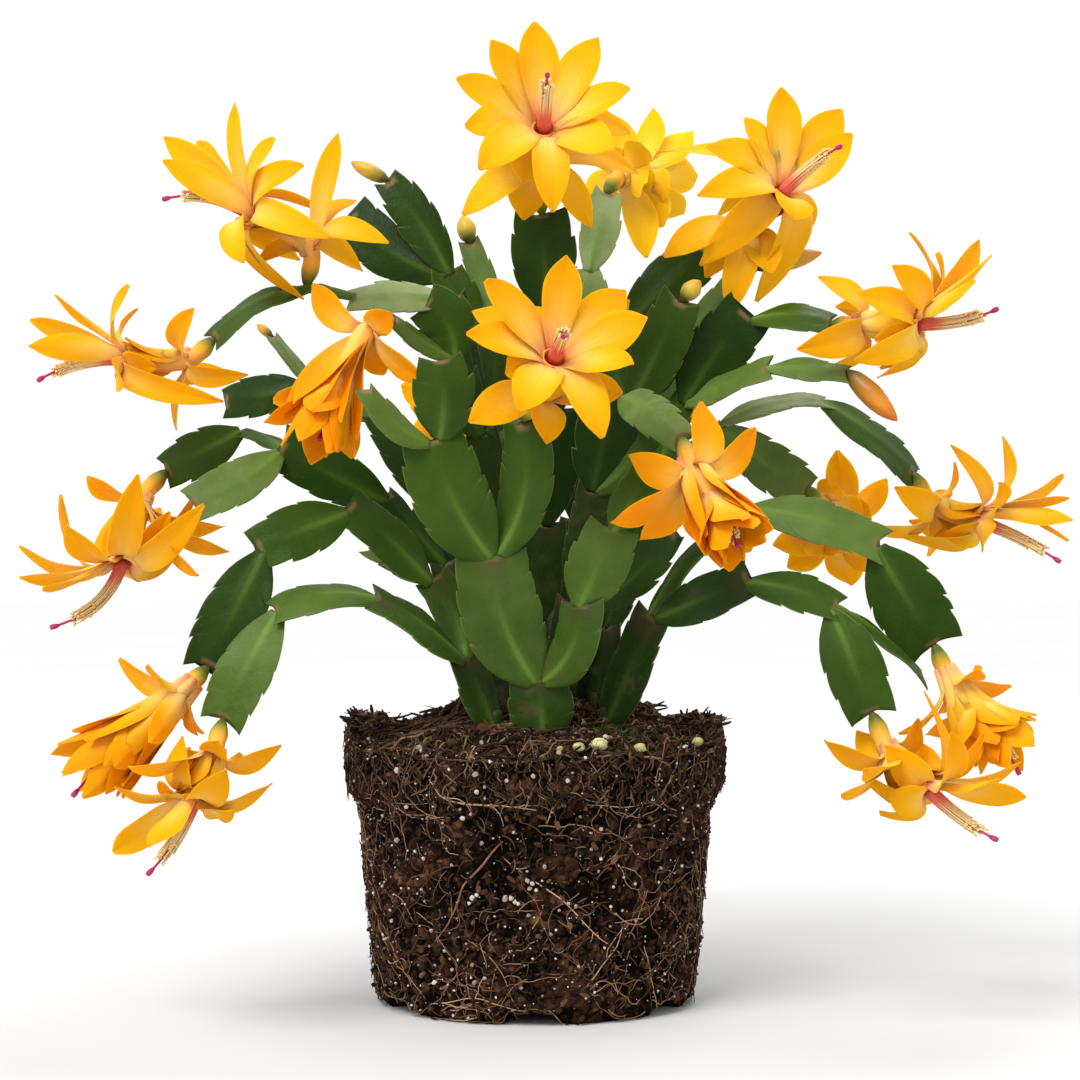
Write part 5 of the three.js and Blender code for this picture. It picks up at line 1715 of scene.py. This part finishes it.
PERLITE = strand_look("perlite", [
    (0.1, (0.17, 0.12, 0.085)), (0.5, (0.34, 0.28, 0.23)), (0.9, (0.68, 0.64, 0.58))], 0.6, 0.8)
GRANULE = strand_look("granule", [
    (0.1, (0.3, 0.27, 0.08)), (0.6, (0.5, 0.5, 0.2)), (1.0, (0.62, 0.62, 0.34))], 0.8, 0.6)
MOSS_LOOK = strand_look("moss", [
    (0.15, (0.005, 0.012, 0.002)), (0.6, (0.013, 0.03, 0.004)), (1.0, (0.035, 0.06, 0.009))], 0.3, 0.9)
RIM_MOSS = strand_look("rim moss", [
    (0.15, (0.012, 0.014, 0.002)), (0.6, (0.05, 0.05, 0.008)), (1.0, (0.13, 0.12, 0.03))], 0.4, 0.9)


# ---- the plant ----

soil_mass()
crumbs()
root_net()
fibres()
litter()
tangle()
perlite()
moss_and_granules()

places = {}
for name, plan in STEMS.items():
    places.update(stem(name, plan))

for name, plan in BLOOMS.items():
    foot = at(plan["foot"]) if "foot" in plan else places[plan["on"]]["tip"]
    whorls = [[at(place) for place in plan[part]] for part in ("inner", "mid", "outer")]
    bloom(name, foot, at(plan["neck"]), at(plan["mouth"]), at(plan["pistil"]), *whorls)
for name, plan in STARS.items():
    star(name, places[plan["on"]]["tip"], plan)
for name, plan in BUDS.items():
    bud(name, places[plan["on"]], plan)


# ---- the studio ----


FLOOR_RADIUS = 6


def floor():
    mesh = bpy.data.meshes.new("floor")
    around = 64
    edge = spokes(Vector((FLOOR_RADIUS, 0, 0)), Vector((0, FLOOR_RADIUS, 0)), around)
    vertices = [Vector((0, 0, 0))] + edge
    faces = [(0, 1 + k, 1 + (k + 1) % around) for k in range(around)]
    mesh.from_pydata(vertices, [], faces)
    look = Look("floor", 0.9, 0.1)
    look.colour(look.ramp(look.noise(3, 2), [(0.2, (0.6, 0.6, 0.6)), (0.8, (0.62, 0.62, 0.62))]))
    mesh.materials.append(look.material)
    ground = bpy.data.objects.new("floor", mesh)
    bpy.context.scene.collection.objects.link(ground)


# A light that shines along a direction, with its kind's own settings.
def lamp(name, kind, direction, place, **settings):
    light = bpy.data.lights.new(name, kind)
    for setting, value in settings.items():
        setattr(light, setting, value)
    lit = bpy.data.objects.new(name, light)
    lit.location = place
    lit.rotation_euler = direction.to_track_quat("-Z", "Y").to_euler()
    bpy.context.scene.collection.objects.link(lit)


floor()
lamp("key", "SUN", Vector((0.42, 0.62, -0.8)), Vector((0, 0, 0)), energy=2.5, angle=math.radians(32))
TOP_LAMP = Vector((0.3, 0.6, 1.3))
lamp("top", "AREA", Vector((0, 0, 0.18)) - TOP_LAMP, TOP_LAMP, shape="DISK", size=0.7, energy=5)

world = bpy.data.worlds.new("studio")
world.use_nodes = True
background = world.node_tree.nodes["Background"]
background.inputs["Color"].default_value = (1, 1, 1, 1)
background.inputs["Strength"].default_value = 1.04
bpy.context.scene.world = world
bpy.context.scene.view_settings.view_transform = "Standard"

# The photograph's view: level, from straight in front.
camera = bpy.data.cameras.new("camera")
camera.sensor_width = 36
camera.lens = 93.75
eye = bpy.data.objects.new("camera", camera)
eye.location = EYE * MM
eye.rotation_euler = (math.pi / 2, 0, 0)
bpy.context.scene.collection.objects.link(eye)
bpy.context.scene.camera = eye
